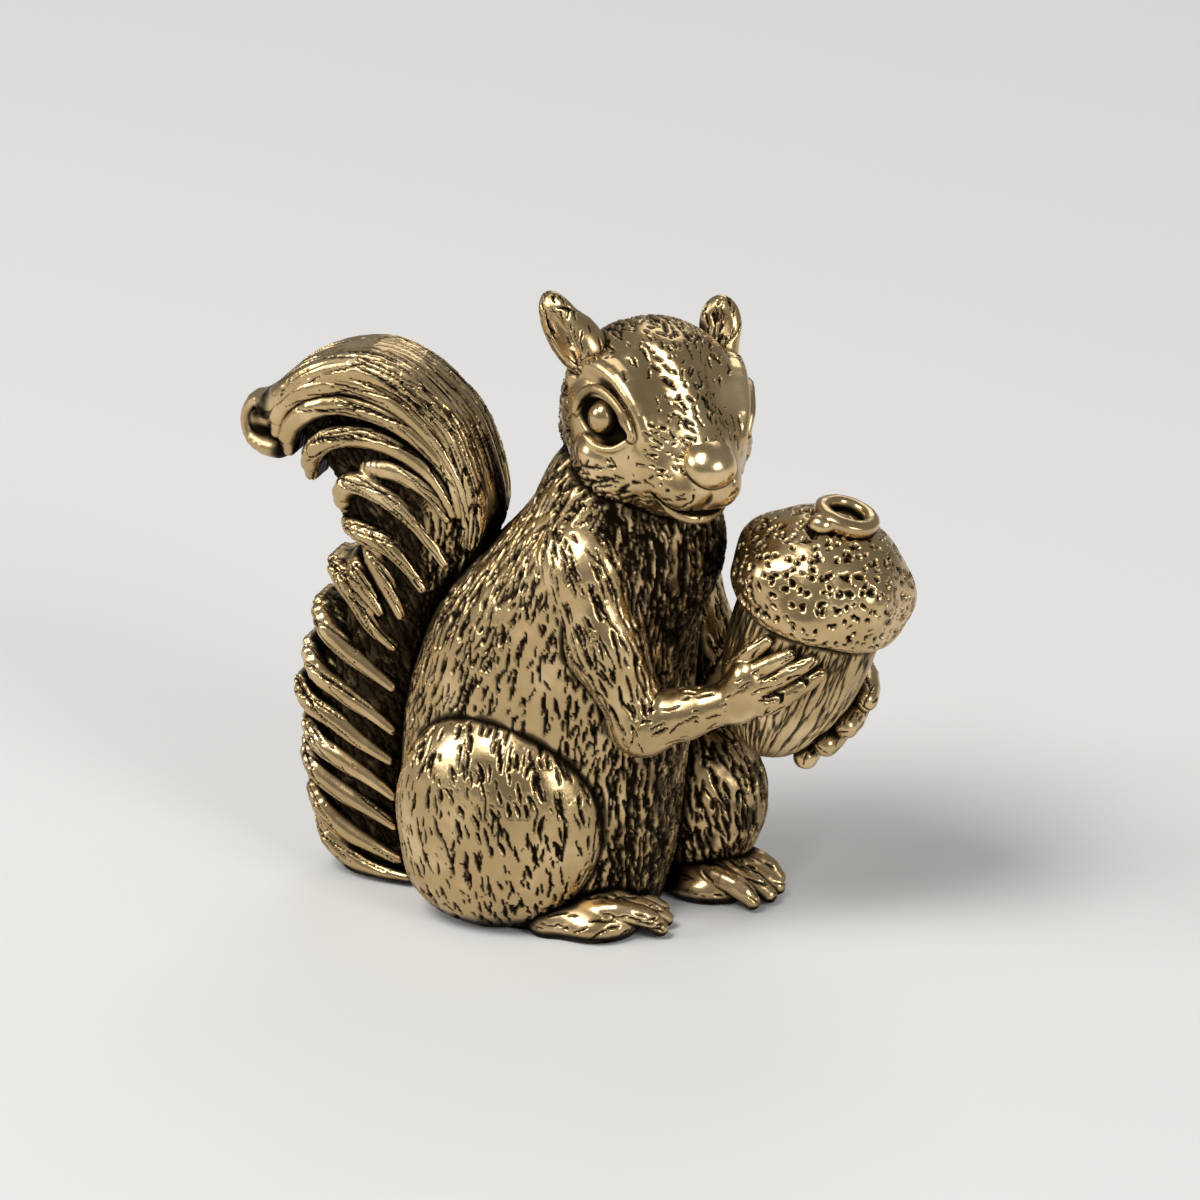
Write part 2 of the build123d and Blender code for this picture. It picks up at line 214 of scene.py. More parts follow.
def rough(points, scale, shift=0.0):
    """Smooth noise from -1 to 1, with this many bumps in a millimetre."""
    q = np.asarray(points, float) * scale + shift
    i = np.floor(q).astype(int)
    f = q - i
    f = f * f * (3 - 2 * f)
    i %= LATTICE_SIDE
    j = (i + 1) % LATTICE_SIDE
    out = np.zeros(len(q))
    ends = [((i[:, k], 1 - f[:, k]), (j[:, k], f[:, k])) for k in range(3)]
    for (x, x_share), (y, y_share), (z, z_share) in product(*ends):
        out += LATTICE[x, y, z] * x_share * y_share * z_share
    return out


def rough_way(points, scale, shift=0.0):
    """A noise direction at each point."""
    return np.stack([rough(points, scale, shift + 7.3 * k) for k in range(3)], -1)


# From a field to a closed mesh


CORNERS = list(product((0, 1), repeat=3))
POINTS_AT_ONCE = 400000
STRIDE = 4
SLOPE_GAP, LEAST_SLOPE, GREATEST_MOVE = 0.02, 0.3, 0.6


def grid_points(low, step, counts):
    """The points of a grid, one after the other."""
    axes = [low[k] + step * np.arange(counts[k]) for k in range(3)]
    return np.stack(np.meshgrid(*axes, indexing="ij"), -1).reshape(-1, 3)


def sample_band(field, low, high, step):
    """The field on a grid, worked out only near the surface."""
    cells = np.ceil((high - low) / (step * STRIDE)).astype(int) + 1
    coarse = field(grid_points(low, step * STRIDE, cells + 1)).reshape(cells + 1)
    near = np.zeros(cells, bool)
    for i, j, k in CORNERS:
        corner = coarse[i : cells[0] + i, j : cells[1] + j, k : cells[2] + k]
        near |= np.abs(corner) < step * STRIDE * 2.0
    block = np.ix_(*[np.minimum(np.arange(many * STRIDE + 1) // STRIDE, many - 1) for many in cells])
    values = coarse[:-1, :-1, :-1][block]
    mask = near[block]
    parts = np.array_split(np.argwhere(mask), mask.sum() // POINTS_AT_ONCE + 1)
    values[mask] = np.concatenate([field(low + step * part) for part in parts])
    return values


def net(values, low, step):
    """A closed surface of quads round the cells that the surface passes through."""
    inside = values < 0
    shape = np.array(values.shape) - 1
    ends = [tuple(slice(c, size + c) for c, size in zip(corner, shape)) for corner in CORNERS]
    total = sum(inside[end].astype(np.int8) for end in ends)
    active = (total > 0) & (total < 8)
    cells = np.argwhere(active)
    index = np.full(active.shape, -1, int)
    index[active] = np.arange(len(cells))
    sums = np.zeros((len(cells), 3))
    count = np.zeros(len(cells))
    for axis in range(3):
        for a in [corner for corner in CORNERS if not corner[axis]]:
            b = tuple(1 if k == axis else a[k] for k in range(3))
            va = values[tuple((cells + a).T)]
            vb = values[tuple((cells + b).T)]
            cross = (va < 0) != (vb < 0)
            t = np.where(cross, va / np.where(cross, va - vb, 1), 0)
            point = np.tile(np.array(a, float), (len(cells), 1))
            point[:, axis] += t
            sums += point * cross[:, None]
            count += cross
    points = low + step * (cells + sums / count[:, None])
    quads = []
    for axis in range(3):
        one, two = (axis + 1) % 3, (axis + 2) % 3
        at = np.argwhere(np.diff(inside, axis=axis))
        for side in (one, two):
            at = at[(at[:, side] > 0) & (at[:, side] < shape[side])]
        back = np.zeros((4, 3), int)
        back[[0, 0, 1, 3], [one, two, two, one]] = 1
        ring = np.stack([index[tuple((at - b).T)] for b in back], -1)
        outward = inside[tuple(at.T)]
        ring[~outward] = ring[~outward][:, ::-1]
        quads.append(ring)
    return points, np.concatenate(quads)


class Form:
    """One sculpted piece: its points, faces, outward directions and where it is darkened by carving, patina
    and painted shade.
    """

    def __init__(self, field, low, high, step):
        low, high = np.asarray(low, float), np.asarray(high, float)
        self.points, self.quads = net(sample_band(field, low, high, step), low, step)
        self.field, self.step = field, step
        for _ in range(2):
            self.draw_near()
        self.carved = np.zeros(len(self.points))
        self.depth = np.zeros(len(self.points))

    def draw_near(self):
        """Moves the points to where the field is zero, and keeps the directions that point outwards."""
        values = self.field(self.points)
        slope = [(self.field(self.points + SLOPE_GAP * axis) - values) / SLOPE_GAP for axis in np.eye(3)]
        slope = np.stack(slope, -1)
        steep = np.linalg.norm(slope, axis=1)
        self.normals = slope / np.maximum(steep, 1e-6)[:, None]
        move = values / np.maximum(steep, LEAST_SLOPE)
        move = np.clip(move, -self.step * GREATEST_MOVE, self.step * GREATEST_MOVE)
        self.dent(move)

    def dent(self, amount):
        """Moves the surface inwards by this much at each point."""
        self.points -= self.normals * amount[:, None]

    def patina_and_shade(self, mark):
        """Darkens the surface where the mark is near 1; it serves for patina and for painted shade."""
        self.carved = np.maximum(self.carved, np.clip(mark, 0, 1))

    def shade_patches(self, seed):
        """Half dark patches of painted shade, spread unevenly."""
        return 0.34 + 0.45 * rough(self.points, 1.6, seed)

    def crease_patina_and_shade(self, *fields, reach=0.32):
        """Patina and painted shade in the crease along the pieces that this one touches."""
        ragged = reach * (1 + 0.75 * rough(self.points, 1.5, 5))
        for field in fields:
            self.patina_and_shade(1.25 - np.maximum(field(self.points), 0) / ragged)

    def finish(self):
        """Applies the carving, and keeps what stands on the ground flat."""
        free = np.clip(self.points[:, 2] / 0.25, 0, 1)
        self.dent(self.depth * free)
        self.carved *= free
        self.points[:, 2] = np.maximum(self.points[:, 2], 0)


def pairs(points, seeds, reach):
    """Each seed with each point within reach of it, as two lists of numbers."""
    low = points.min(0) - 2 * reach
    size = np.ceil((points.max(0) - low) / reach).astype(np.int64) + 3
    weight = np.array([size[1] * size[2], size[2], 1])
    key = np.floor((points - low) / reach).astype(np.int64) @ weight
    order = np.argsort(key, kind="stable")
    key = key[order]
    home = np.floor((seeds - low) / reach).astype(np.int64)
    found_seed, found_point = [], []
    for beside in product((-1, 0, 1), repeat=3):
        want = (home + beside) @ weight
        start = np.searchsorted(key, want, "left")
        many = np.searchsorted(key, want, "right") - start
        seed = np.repeat(np.arange(len(seeds)), many)
        step = np.arange(many.sum()) - np.repeat(np.cumsum(many) - many, many)
        point = order[step + np.repeat(start, many)]
        near = ((points[point] - seeds[seed]) ** 2).sum(-1) < reach**2
        found_seed.append(seed[near])
        found_point.append(point[near])
    return np.concatenate(found_seed), np.concatenate(found_point)


def scatter(points, spacing, rng):
    """Points picked about this far apart."""
    order = rng.permutation(len(points))
    cell = np.floor(points[order] / spacing + rng.random(3)).astype(np.int64)
    key = (cell[:, 0] * 4096 + cell[:, 1]) * 4096 + cell[:, 2]
    _, first = np.unique(key, return_index=True)
    return order[first]


# How far off the surface a stroke reaches and the least share of its way that runs along it; then
# its burr's middle, half width and outer edge as shares of the stroke's half width
OFF_SURFACE, LEAST_RUN, BURR_MIDDLE, BURR_HALF, BURR_EDGE = 0.8, 0.12, 1.45, 0.75, 2.2


def carve(form, seed, spacing, flow, length, width, depth, keep, lean, wander=0.1, blunt=0.5, burr=0.16):
    """Strokes of a graver along the flow: short ragged grooves with a low burr beside them.

    Length, width and depth are the least and the most in millimetres, lean is in degrees, and keep
    gives the share of strokes that is cut at each point.
    """
    rng = np.random.default_rng(seed)
    picked = scatter(form.points, spacing, rng)
    picked = picked[rng.random(len(picked)) < keep(form.points[picked])]
    if not len(picked):
        return
    at, normal = form.points[picked], form.normals[picked]
    way = flow(at)
    way = way - normal * (way * normal).sum(-1)[:, None]
    size = np.linalg.norm(way, axis=1)
    good = size > LEAST_RUN
    at, normal, way = at[good], normal[good], way[good] / size[good][:, None]
    turn = np.radians(rng.normal(0, lean, len(at)))
    across = np.cross(normal, way)
    way = way * np.cos(turn)[:, None] + across * np.sin(turn)[:, None]
    across = np.cross(normal, way)
    half = rng.uniform(*length, len(at)) / 2
    wide = rng.uniform(*width, len(at))
    deep = rng.uniform(*depth, len(at))
    warped = form.points + wander * rough_way(form.points, 1.6, seed)
    warped = warped + 0.035 * rough_way(form.points, 5.0, seed)
    reach = half.max() + 2 * wide.max()
    which, point = pairs(form.points, at, reach)
    gap = warped[point] - at[which]
    u = (gap * way[which]).sum(-1) / half[which]
    v = (gap * across[which]).sum(-1)
    w = (gap * normal[which]).sum(-1)
    taper = np.clip(1 - u * u, 0, 1) ** blunt
    share = np.abs(v) / np.maximum(wide[which] * taper, 1e-3)
    live = (np.abs(u) < 1) & (np.abs(w) < OFF_SURFACE) & (share < BURR_EDGE)
    share, point, which, taper = share[live], point[live], which[live], taper[live]
    inside = np.clip(1.02 - share, 0, 1)
    groove = deep[which] * np.clip(1 - share**2, 0, 1) ** 0.6 * (0.5 + 0.5 * taper)
    edge = burr * deep[which] * np.clip(1 - np.abs(share - BURR_MIDDLE) / BURR_HALF, 0, 1) * taper
    sunk, raised, mark = np.zeros((3, len(form.points)))
    np.maximum.at(sunk, point, groove)
    np.maximum.at(raised, point, edge)
    np.maximum.at(mark, point, np.clip(inside * 2.0, 0, 1))
    form.depth = np.maximum(form.depth, sunk) - np.where(sunk > 0.01, 0, raised)
    form.patina_and_shade(mark)


# The unevenness of each cast surface: its height in millimetres, bumps a millimetre and its seed
CAST = {
    "body": (0.06, 0.45, 2),
    "head": (0.045, 0.5, 6),
    "nose": (0.03, 0.9, 4),
    "ear": (0.03, 0.8, 3),
    "upper arm": (0.06, 0.5, 5),
    "forearm": (0.05, 0.6, 7),
    "paw": (0.03, 0.8, 9),
    "haunch": (0.07, 0.4, 8),
    "foot": (0.04, 0.6, 5),
    "lock": (0.035, 0.7, 0),
    "stem": (0.06, 0.6, 3),
    "cap": (0.05, 0.6, 12),
    "stalk": (0.04, 0.8, 2),
}


def hammer(form, name, shift=0):
    """The slight unevenness of a cast surface."""
    amount, scale, seed = CAST[name]
    seed += shift
    form.depth += amount * rough(form.points, scale, seed)
    form.depth += 0.35 * amount * rough(form.points, scale * 3.1, seed + 3)


# Body: share of the height, then the middle, the depth and the width as shares of the body's own
TORSO_ROWS = smooth_rows(
    [
        (0.00, -0.14, 0.80, 0.88),
        (0.14, -0.15, 0.94, 0.97),
        (0.32, -0.14, 0.98, 1.00),
        (0.50, -0.10, 0.97, 0.98),
        (0.66, -0.04, 0.89, 0.94),
        (0.79, 0.05, 0.75, 0.87),
        (0.89, 0.12, 0.62, 0.77),
        (1.00, 0.17, 0.50, 0.66),
    ]
)
TORSO_HEIGHT, TORSO_DEPTH, TORSO_WIDTH = 28.0, 17.8, 13.4
TORSO_TOP = 27.6
BREAST = [
    ((1.6, -3.7, 21.3), (3.6, 2.9, 4.2), 1.8),
    ((1.6, 3.7, 21.3), (3.6, 2.9, 4.2), 1.8),
    ((4.6, 0, 23.6), (4.0, 4.2, 4.6), 1.4),
    ((2.6, 0, 27.0), (4.4, 4.6, 3.2), 1.5),
]
BELLY_HOLLOW = ((9.4, 0, 15.2), (2.6, 3.4, 4.4))


def torso_field(p):
    share = np.clip(p[:, 2] / TORSO_HEIGHT, 0, 1)
    middle, depth, width = (np.interp(share, TORSO_ROWS[:, 0], TORSO_ROWS[:, k]) for k in (1, 2, 3))
    middle, depth, width = middle * TORSO_DEPTH, depth * TORSO_DEPTH / 2, width * TORSO_WIDTH / 2
    round_body = np.sqrt(((p[:, 0] - middle) / depth) ** 2 + (p[:, 1] / width) ** 2) - 1
    body = cut(round_body * np.minimum(depth, width), TORSO_TOP - p[:, 2], 1.6)
    body = cut(eggs(p, BREAST, body), egg(p, *BELLY_HOLLOW), 1.6)
    return np.maximum(body, -p[:, 2])


def torso_flow(p):
    front, high = ramp(p[:, 0], 2, 6), ramp(p[:, 2], 20, 25)
    way = np.zeros((len(p), 3)) - (0.30, 0, 1.0)
    way[:, 0] += 0.45 * front - 0.25 * high * (1 - front) + 0.25 * rough(p, 0.22, 4)
    way[:, 1] += 0.20 * rough(p, 0.22, 9)
    return way


# Head, in its own axes: +X to the nose, +Y its left, +Z its crown


def mirrored(p):
    """The points of both halves laid on the right one."""
    return np.stack([p[:, 0], -np.abs(p[:, 1]), p[:, 2]], -1)


# The lines of the face and how thick each is along its way, then the forms of the skull
LID_START = [(0.05, -5.35, 0.60), (0.20, -5.30, 1.60), (0.75, -5.05, 2.40), (1.50, -4.85, 2.70)]
LID = smooth_line([*LID_START, (2.60, -4.45, 2.50), (3.60, -4.10, 1.95), (4.30, -3.78, 1.05)], 14)
LID_RADII = [0.20, 0.26] + [0.29] * 10 + [0.25, 0.18]
LOWER_LID_ENDS = (1.6, -5.30, -0.15), (4.25, -3.90, 0.80)
LOWER_LID = smooth_line([LOWER_LID_ENDS[0], (2.6, -5.00, -0.35), (3.6, -4.45, -0.05), LOWER_LID_ENDS[1]], 10)
LOWER_LID_RADII = [0.14] + [0.19] * 8 + [0.14]
BROW_START = [(-1.9, -4.90, 1.30), (-1.5, -4.70, 2.50), (-0.3, -4.35, 3.35), (1.3, -3.95, 3.45)]
BROW = smooth_line([*BROW_START, (2.8, -3.60, 2.95), (4.1, -3.30, 2.15), (4.9, -3.05, 1.15)], 14)
BROW_RADII = [0.30, 0.42, 0.50, 0.55, 0.58, 0.60, 0.60, 0.60, 0.58, 0.55, 0.50, 0.45, 0.38, 0.28]
MOUTH_START = [(5.4, -2.65, -1.2), (6.1, -2.3, -1.85), (6.8, -1.6, -2.2)]
MOUTH = smooth_line([*MOUTH_START, (7.3, -0.8, -2.35), (7.45, 0.0, -2.35)], 12)
MOUTH_RADII = [0.07] + [0.15] * 11
LIP = smooth_line([(6.3, -1.9, -2.35), (6.85, -1.2, -2.68), (7.2, -0.5, -2.80), (7.25, 0.0, -2.82)], 8)
LIP_RADII = [0.20] + [0.32] * 7
EYE = ((1.72, -4.40, 1.02), (0.90, 0.86, 1.02), about(0, 8))
SOCKET = ((2.15, -5.35, 1.12), (1.95, 1.40, 1.18))
SOCKET_CORNER = ((3.25, -4.65, 0.62), (1.25, 1.05, 0.72))
TEMPLE_HOLLOW = ((3.6, -1.9, 4.15), (2.8, 0.85, 0.9), about(2, 6) @ about(1, 24))
NOSE_BRIDGE = ((3.0, 0, 2.3), (6.6, 0, 0.95), 1.5, 1.10)
SKULL = [
    ((-0.6, 0, 0.35), (5.45, 5.35, 5.25), 0),
    ((2.5, 0, -0.5), (4.4, 4.3, 4.2), 1.3),
    ((1.3, -3.1, -1.9), (3.0, 2.1, 2.4), 0.8),
    ((1.8, -4.70, -1.25), (1.2, 0.85, 1.0), 0.3),
    ((5.2, 0, -0.55), (2.8, 2.4, 2.1), 0.9),
]
MUZZLE = [
    ((6.25, -1.15, -1.05), (1.75, 1.35, 1.35), 0.8),
    ((5.9, 0, -2.20), (1.5, 1.5, 0.75), 0.4),
    ((-2.8, 0, -2.4), (3.2, 4.1, 3.2), 1.2),
]


def socket(q):
    """The hollow that the eye lies in, with a pointed front corner."""
    return join(egg(q, *SOCKET), egg(q, *SOCKET_CORNER), 0.3)


def seam_under_nose(q):
    return rod(q, (8.3, 0, -0.6), (7.6, 0, -2.2), 0.15, 0.13)


def head_field(p):
    q = mirrored(HEAD.inward(p))
    s = join(eggs(q, SKULL), rod(q, *NOSE_BRIDGE), 0.8)
    s = cut(eggs(q, MUZZLE, s), egg(q, *TEMPLE_HOLLOW), 0.9)
    s = join(s, chain(q, BROW, BROW_RADII), 0.55)
    s = cut(s, socket(q), 0.2)
    s = join(s, chain(q, LID, LID_RADII), 0.10)
    s = join(s, chain(q, LOWER_LID, LOWER_LID_RADII), 0.30)
    s = cut(s, chain(q, MOUTH, MOUTH_RADII), 0.12)
    s = join(s, chain(q, LIP, LIP_RADII), 0.18)
    return cut(s, seam_under_nose(q), 0.2)


def face_lines(p):
    """How deep a point lies in the eye sockets, the mouth or the seam lines of the nose, 0 to 1."""
    q = mirrored(HEAD.inward(p))
    lid, lower = chain(q, LID, [0.29] * 14), chain(q, LOWER_LID, [0.19] * 10)
    inside = np.clip(1 - socket(q) / 0.12, 0, 1) * ramp(np.minimum(lid, lower), 0.01, 0.06)
    crease = np.clip(1.25 - np.abs(lid - 0.06) / 0.08, 0, 1) * ramp(chain(q, BROW, BROW_RADII), 0, 0.1)
    mouth = np.clip(1.6 - chain(q, MOUTH, [0.15] * 12) / 0.07, 0, 1)
    seam = np.clip(1.3 - seam_under_nose(q) / 0.08, 0, 1)
    return np.max([inside, 0.9 * crease, mouth, seam], axis=0)


def head_flow(p):
    """Fur lies back from the nose, round the eyes and down over the cheeks."""
    q = HEAD.inward(p)
    way = np.zeros((len(q), 3)) - (1.0, 0, 0.12)
    cheek = ramp(q[:, 2], 1.5, -2.5) * ramp(q[:, 0], 4.5, -0.5)
    way[:, 1] += 0.25 * rough(q, 0.35, 5)
    way[:, 2] += 0.30 * rough(q, 0.35, 8) - 1.0 * cheek
    return way @ HEAD.turn.T


def eye_field(side):
    def field(p):
        q = HEAD.inward(p)
        return np.maximum(egg(mirrored(q), *EYE), -side * q[:, 1])

    return field


NOSE = [((7.25, 0, 0.48), (1.32, 1.50, 1.10), 0), ((6.0, 0, 0.95), (1.9, 1.30, 1.05), 1.1)]


def nose_field(p):
    return eggs(mirrored(HEAD.inward(p)), NOSE)


def under_nose(q):
    """From 0 on top of the nose to 1 round its lower half, where a dark line sets it off."""
    return ramp(q[:, 2], 0.55, 0.15) * ramp(q[:, 0], 6.2, 6.7)


# The axes of the picture in the figurine: to the right, up, and towards the viewer
RIGHT = np.array([0.940, 0.342, 0.0])
UP = np.array([-0.128, 0.352, 0.927])
NEAR = np.array([0.317, -0.871, 0.375])


def facing(along, opening):
    """A turn whose Z runs along an ear and whose Y points out of its hollow."""
    along = unit(along)
    opening = unit(opening - along * (opening @ along))
    return np.stack([np.cross(opening, along), opening, along], -1)


def ear_place(side):
    if side < 0:
        root = HEAD.outward((-1.42, -4.03, 3.11)) - 0.42 * RIGHT - 0.55 * UP
        return Place(root, facing(-0.46 * RIGHT + 0.88 * UP - 0.05 * NEAR, -0.62 * RIGHT + 0.70 * NEAR))
    root = HEAD.outward((-1.14, 4.03, 1.95)) + 0.25 * RIGHT - 0.32 * UP
    return Place(root, facing(UP + 0.03 * RIGHT, NEAR - 0.25 * RIGHT))


EAR_HOLLOWS = {-1: ((-0.12, 0.98, 2.15), (0.60, 0.95, 1.80)), 1: ((0.05, 0.88, 3.05), (0.95, 0.46, 1.30))}
EARS = {
    -1: [((0, 0, 2.30), (1.34, 0.90, 2.72), 0), ((-0.7, -0.55, 1.2), (0.95, 1.0, 1.7), 0.8)],
    1: [((0, 0, 3.15), (1.27, 0.72, 1.80), 0), ((0, -0.1, 1.2), (1.1, 0.9, 1.7), 0.6)],
}


def ear_hollow(q, side):
    """The hollow of an ear: a slit in the right one, a round dish in the left one."""
    return egg(q, *EAR_HOLLOWS[side])


def ear_field(side):
    """A leaf with a rolled rim, open towards its own side."""
    place = ear_place(side)

    def field(p):
        q = place.inward(p)
        return cut(eggs(q, EARS[side]), ear_hollow(q, side), 0.18)

    return field


# Arms and paws


NUT_LENGTH, NUT_RADIUS = 12.3, 4.35
NUT_ROWS = np.array([(0.0, 0.12), (0.12, 0.52), (0.42, 0.91), (0.70, 1.0), (0.86, 0.98), (1.0, 0.96)])


def nut_reach(share):
    return NUT_RADIUS * np.interp(share, NUT_ROWS[:, 0], NUT_ROWS[:, 1])


def nut_field(p):
    q = ACORN.inward(p)
    side = np.hypot(q[:, 0], q[:, 1]) - nut_reach(q[:, 2] / NUT_LENGTH)
    return np.maximum(side, np.abs(q[:, 2] - NUT_LENGTH / 2) - NUT_LENGTH / 2)


def on_nut(angle, share, over):
    """A point this far over the nut's surface, in the figurine's axes."""
    reach, turn = nut_reach(share) + over, math.radians(angle)
    return ACORN.outward((reach * math.cos(turn), reach * math.sin(turn), NUT_LENGTH * share))


# Where the limbs bend, -1 for the right side and 1 for the left; palms and fingers by the angle
# round the nut and the share of its length, each finger from its bend to its tip
SIDES = (("right", -1), ("left", 1))
SHOULDERS = {-1: (2.0, -4.7, 22.6), 1: (2.4, 4.84, 22.9)}
ELBOWS = {-1: (5.75, -5.55, 14.2), 1: (6.82, 5.78, 13.7)}
PALMS = {-1: (-110.0, 0.41), 1: (98.0, 0.28)}
FINGERS = {
    -1: [
        ((-121.0, 0.53), (-113.0, 0.65), (-103.0, 0.765)),
        ((-107.0, 0.56), (-96.0, 0.66), (-84.0, 0.755)),
        ((-96.0, 0.54), (-82.0, 0.65), (-68.0, 0.76)),
        ((-88.0, 0.46), (-73.0, 0.58), (-59.0, 0.70)),
    ],
    1: [
        ((66.0, 0.49), (40.0, 0.48), (18.0, 0.45)),
        ((60.0, 0.37), (28.0, 0.36), (0.0, 0.34)),
        ((60.0, 0.25), (26.0, 0.24), (-6.0, 0.22)),
        ((80.0, 0.12), (40.0, 0.10), (4.0, 0.09)),
    ],
}
FINGER_RADII = {
    -1: [0.85, 0.78, 0.70, 0.64, 0.60, 0.58, 0.55, 0.50, 0.40],
    1: [0.90, 0.86, 0.82, 0.80, 0.80, 0.82, 0.82, 0.82, 0.74],
}
FINGER_LIFT = {-1: 0.45, 1: 0.88}
THUMB_RADII = [0.7, 0.6, 0.5, 0.42, 0.36, 0.3]
# The shoulder's bulge and the elbow's: offset, half sizes and how softly each joins
SHOULDER_BULGE = {-1: ((-0.5, 0.7, 0.3), (3.1, 2.5, 3.3), 1.2), 1: ((-0.5, -0.7, 0.3), (3.1, 2.5, 3.3), 1.2)}
ELBOW_BULGE = {-1: ((-0.2, -0.1, -0.1), (1.75, 1.6, 1.6), 0.6), 1: ((-1.0, 0.1, -0.4), (2.5, 1.8, 2.3), 0.8)}


def arm_lines(side):
    shoulder, elbow = np.array(SHOULDERS[side]), np.array(ELBOWS[side])
    palm = on_nut(*PALMS[side], 0.9)
    return shoulder, elbow, palm


def arm_field(side):
    shoulder, elbow, palm = arm_lines(side)
    middle = shoulder * 0.55 + elbow * 0.45 + (-0.3, side * 0.35, 0)
    near = elbow * 0.55 + palm * 0.45
    rows = zip((shoulder, elbow), (SHOULDER_BULGE[side], ELBOW_BULGE[side]))
    bulges = [(at + offset, sizes, soft) for at, (offset, sizes, soft) in rows]

    def field(p):
        s = rod(p, shoulder, middle, 2.35, 2.25)
        s = eggs(p, bulges, join(s, rod(p, middle, elbow, 2.2, 1.65), 0.9))
        s = join(s, rod(p, elbow, near, 1.6, 1.45), 0.9)
        return join(s, rod(p, near, palm, 1.45, 1.15), 0.6)

    return field


SHOULDER_START, SHOULDER_RISE, SHOULDER_AWAY = 18.6, 9, 0.25


def below_shoulder(field):
    """The field of an arm or of the body, which reads as far away round the shoulders."""
    return lambda p: field(p) + SHOULDER_AWAY * np.clip(p[:, 2] - SHOULDER_START, 0, SHOULDER_RISE)


def elbow_plane(side):
    """Which side of the seam at the elbow a point is on: above zero towards the shoulder."""
    shoulder, elbow, palm = arm_lines(side)
    way = unit(unit(shoulder - elbow) - unit(palm - elbow))
    return lambda p: (p - elbow) @ way


def finger_lines(side):
    """The middle lines of the fingers, from the palm to their tips."""
    palm, lift = on_nut(*PALMS[side], 0.75), FINGER_LIFT[side]
    lines = []
    for bend, middle, tip in FINGERS[side]:
        line = [palm, on_nut(*bend, lift + 0.15), on_nut(*middle, lift + 0.05), on_nut(*tip, lift - 0.12)]
        lines.append(smooth_line(line, 9))
    return lines


def paw_field(side):
    angle, share = PALMS[side]
    palm = on_nut(angle, share, 0.75)
    high = on_nut(angle - side * 8, share + 0.08, 0.7)
    thumb = [on_nut(angle - side * 16, share + 0.13, 0.5), on_nut(angle - side * 14, share + 0.24, 0.35)]
    thumb = smooth_line([palm, *thumb], 6)
    elbow = np.array(ELBOWS[side])
    wrist = palm + unit(elbow - palm) * 1.3
    knuckles = on_nut(*FINGERS[side][1][0], 0.55)
    lines = finger_lines(side)

    def field(p):
        s = rod(p, wrist, palm, 1.22, 1.32)
        s = join(s, rod(p, palm, knuckles, 1.32, 1.15), 0.5)
        s = join(s, egg(p, high, (1.2, 1.1, 1.2)), 0.7)
        for line in lines:
            s = join(s, chain(p, line, FINGER_RADII[side]), 0.12)
        return join(s, chain(p, thumb, THUMB_RADII), 0.2)

    return field


def gap_between(p, lines, radii, narrow, shallow, level):
    """From 0 on a finger or toe to 1 in the gap between two."""
    near = np.sort(np.stack([chain(p, line, radii) for line in lines], -1), axis=-1)
    beside = np.clip(1.3 - (near[:, 1] - near[:, 0]) / narrow, 0, 1)
    return beside * np.clip(level - near[:, 1] / shallow, 0, 1)


def between_fingers(p, side):
    lines = [line[2:] for line in finger_lines(side)]
    return gap_between(p, lines, FINGER_RADII[side][2:], 0.14, 0.3, 1.4)


# Haunches and feet


THIGHS = {
    -1: ((-3.4, -5.03, 6.9), (6.45, 4.0, 6.9)),
    1: ((2.4, 5.03, 5.9), (7.3, 4.0, 5.9)),
}
FEET = {
    -1: Place((-2.65, -6.80, 0.0), about(2, 29)),
    1: Place((1.25, 3.89, 0.0), about(2, -4)),
}


THIGH_ENDS = {-1: ((-4.6, -4.9, 3.4), (4.6, 3.3, 3.3), 1.2), 1: ((6.3, 4.4, 5.2), (3.2, 3.0, 4.6), 1.2)}


def thigh_field(side):
    rows = [(*THIGHS[side], 0), THIGH_ENDS[side]]
    return lambda p: np.maximum(eggs(p, rows), -p[:, 2])


def thigh_flow(p):
    way = np.zeros((len(p), 3)) + (0.22, 0, -1.0)
    way[:, 0] += 0.28 * rough(p, 0.25, 3)
    return way


def toe_lines():
    """The middle lines of the four toes in the foot's own axes."""
    lines = []
    for i in (-1.5, -0.5, 0.5, 1.5):
        out, reach = i * 1.26, 9.75 - 0.26 * i**2
        line = [(4.6, out * 0.55, 1.5), (6.9, out * 0.92, 1.75), (8.5, out * 1.02, 1.25)]
        lines.append(smooth_line([*line, (reach, out * 1.05, 0.62)], 8))
    return lines


HEELS = {-1: 2.9, 1: 1.0}
TOE_RADII = [0.50, 0.60, 0.66, 0.68, 0.68, 0.66, 0.62, 0.50]


def foot_field(side):
    place, lines = FEET[side], toe_lines()

    def field(p):
        q = place.inward(p)
        s = rod(q, (HEELS[side], 0, 0.8), (6.2, 0, 1.0), 1.4, 1.9)
        s = join(s, egg(q, (5.6, -0.2, 0.8), (2.7, 2.6, 1.35)), 0.8)
        for line in lines:
            s = join(s, chain(q, line, TOE_RADII), 0.10)
        return np.maximum(s, -p[:, 2])

    return field


def between_toes(p, side):
    q = FEET[side].inward(p)
    return gap_between(q, toe_lines(), TOE_RADII, 0.16, 0.4, 1.5) * ramp(q[:, 0], 5.6, 6.4)


# Tail: crest lines of its locks in the middle plane, X and Z in millimetres


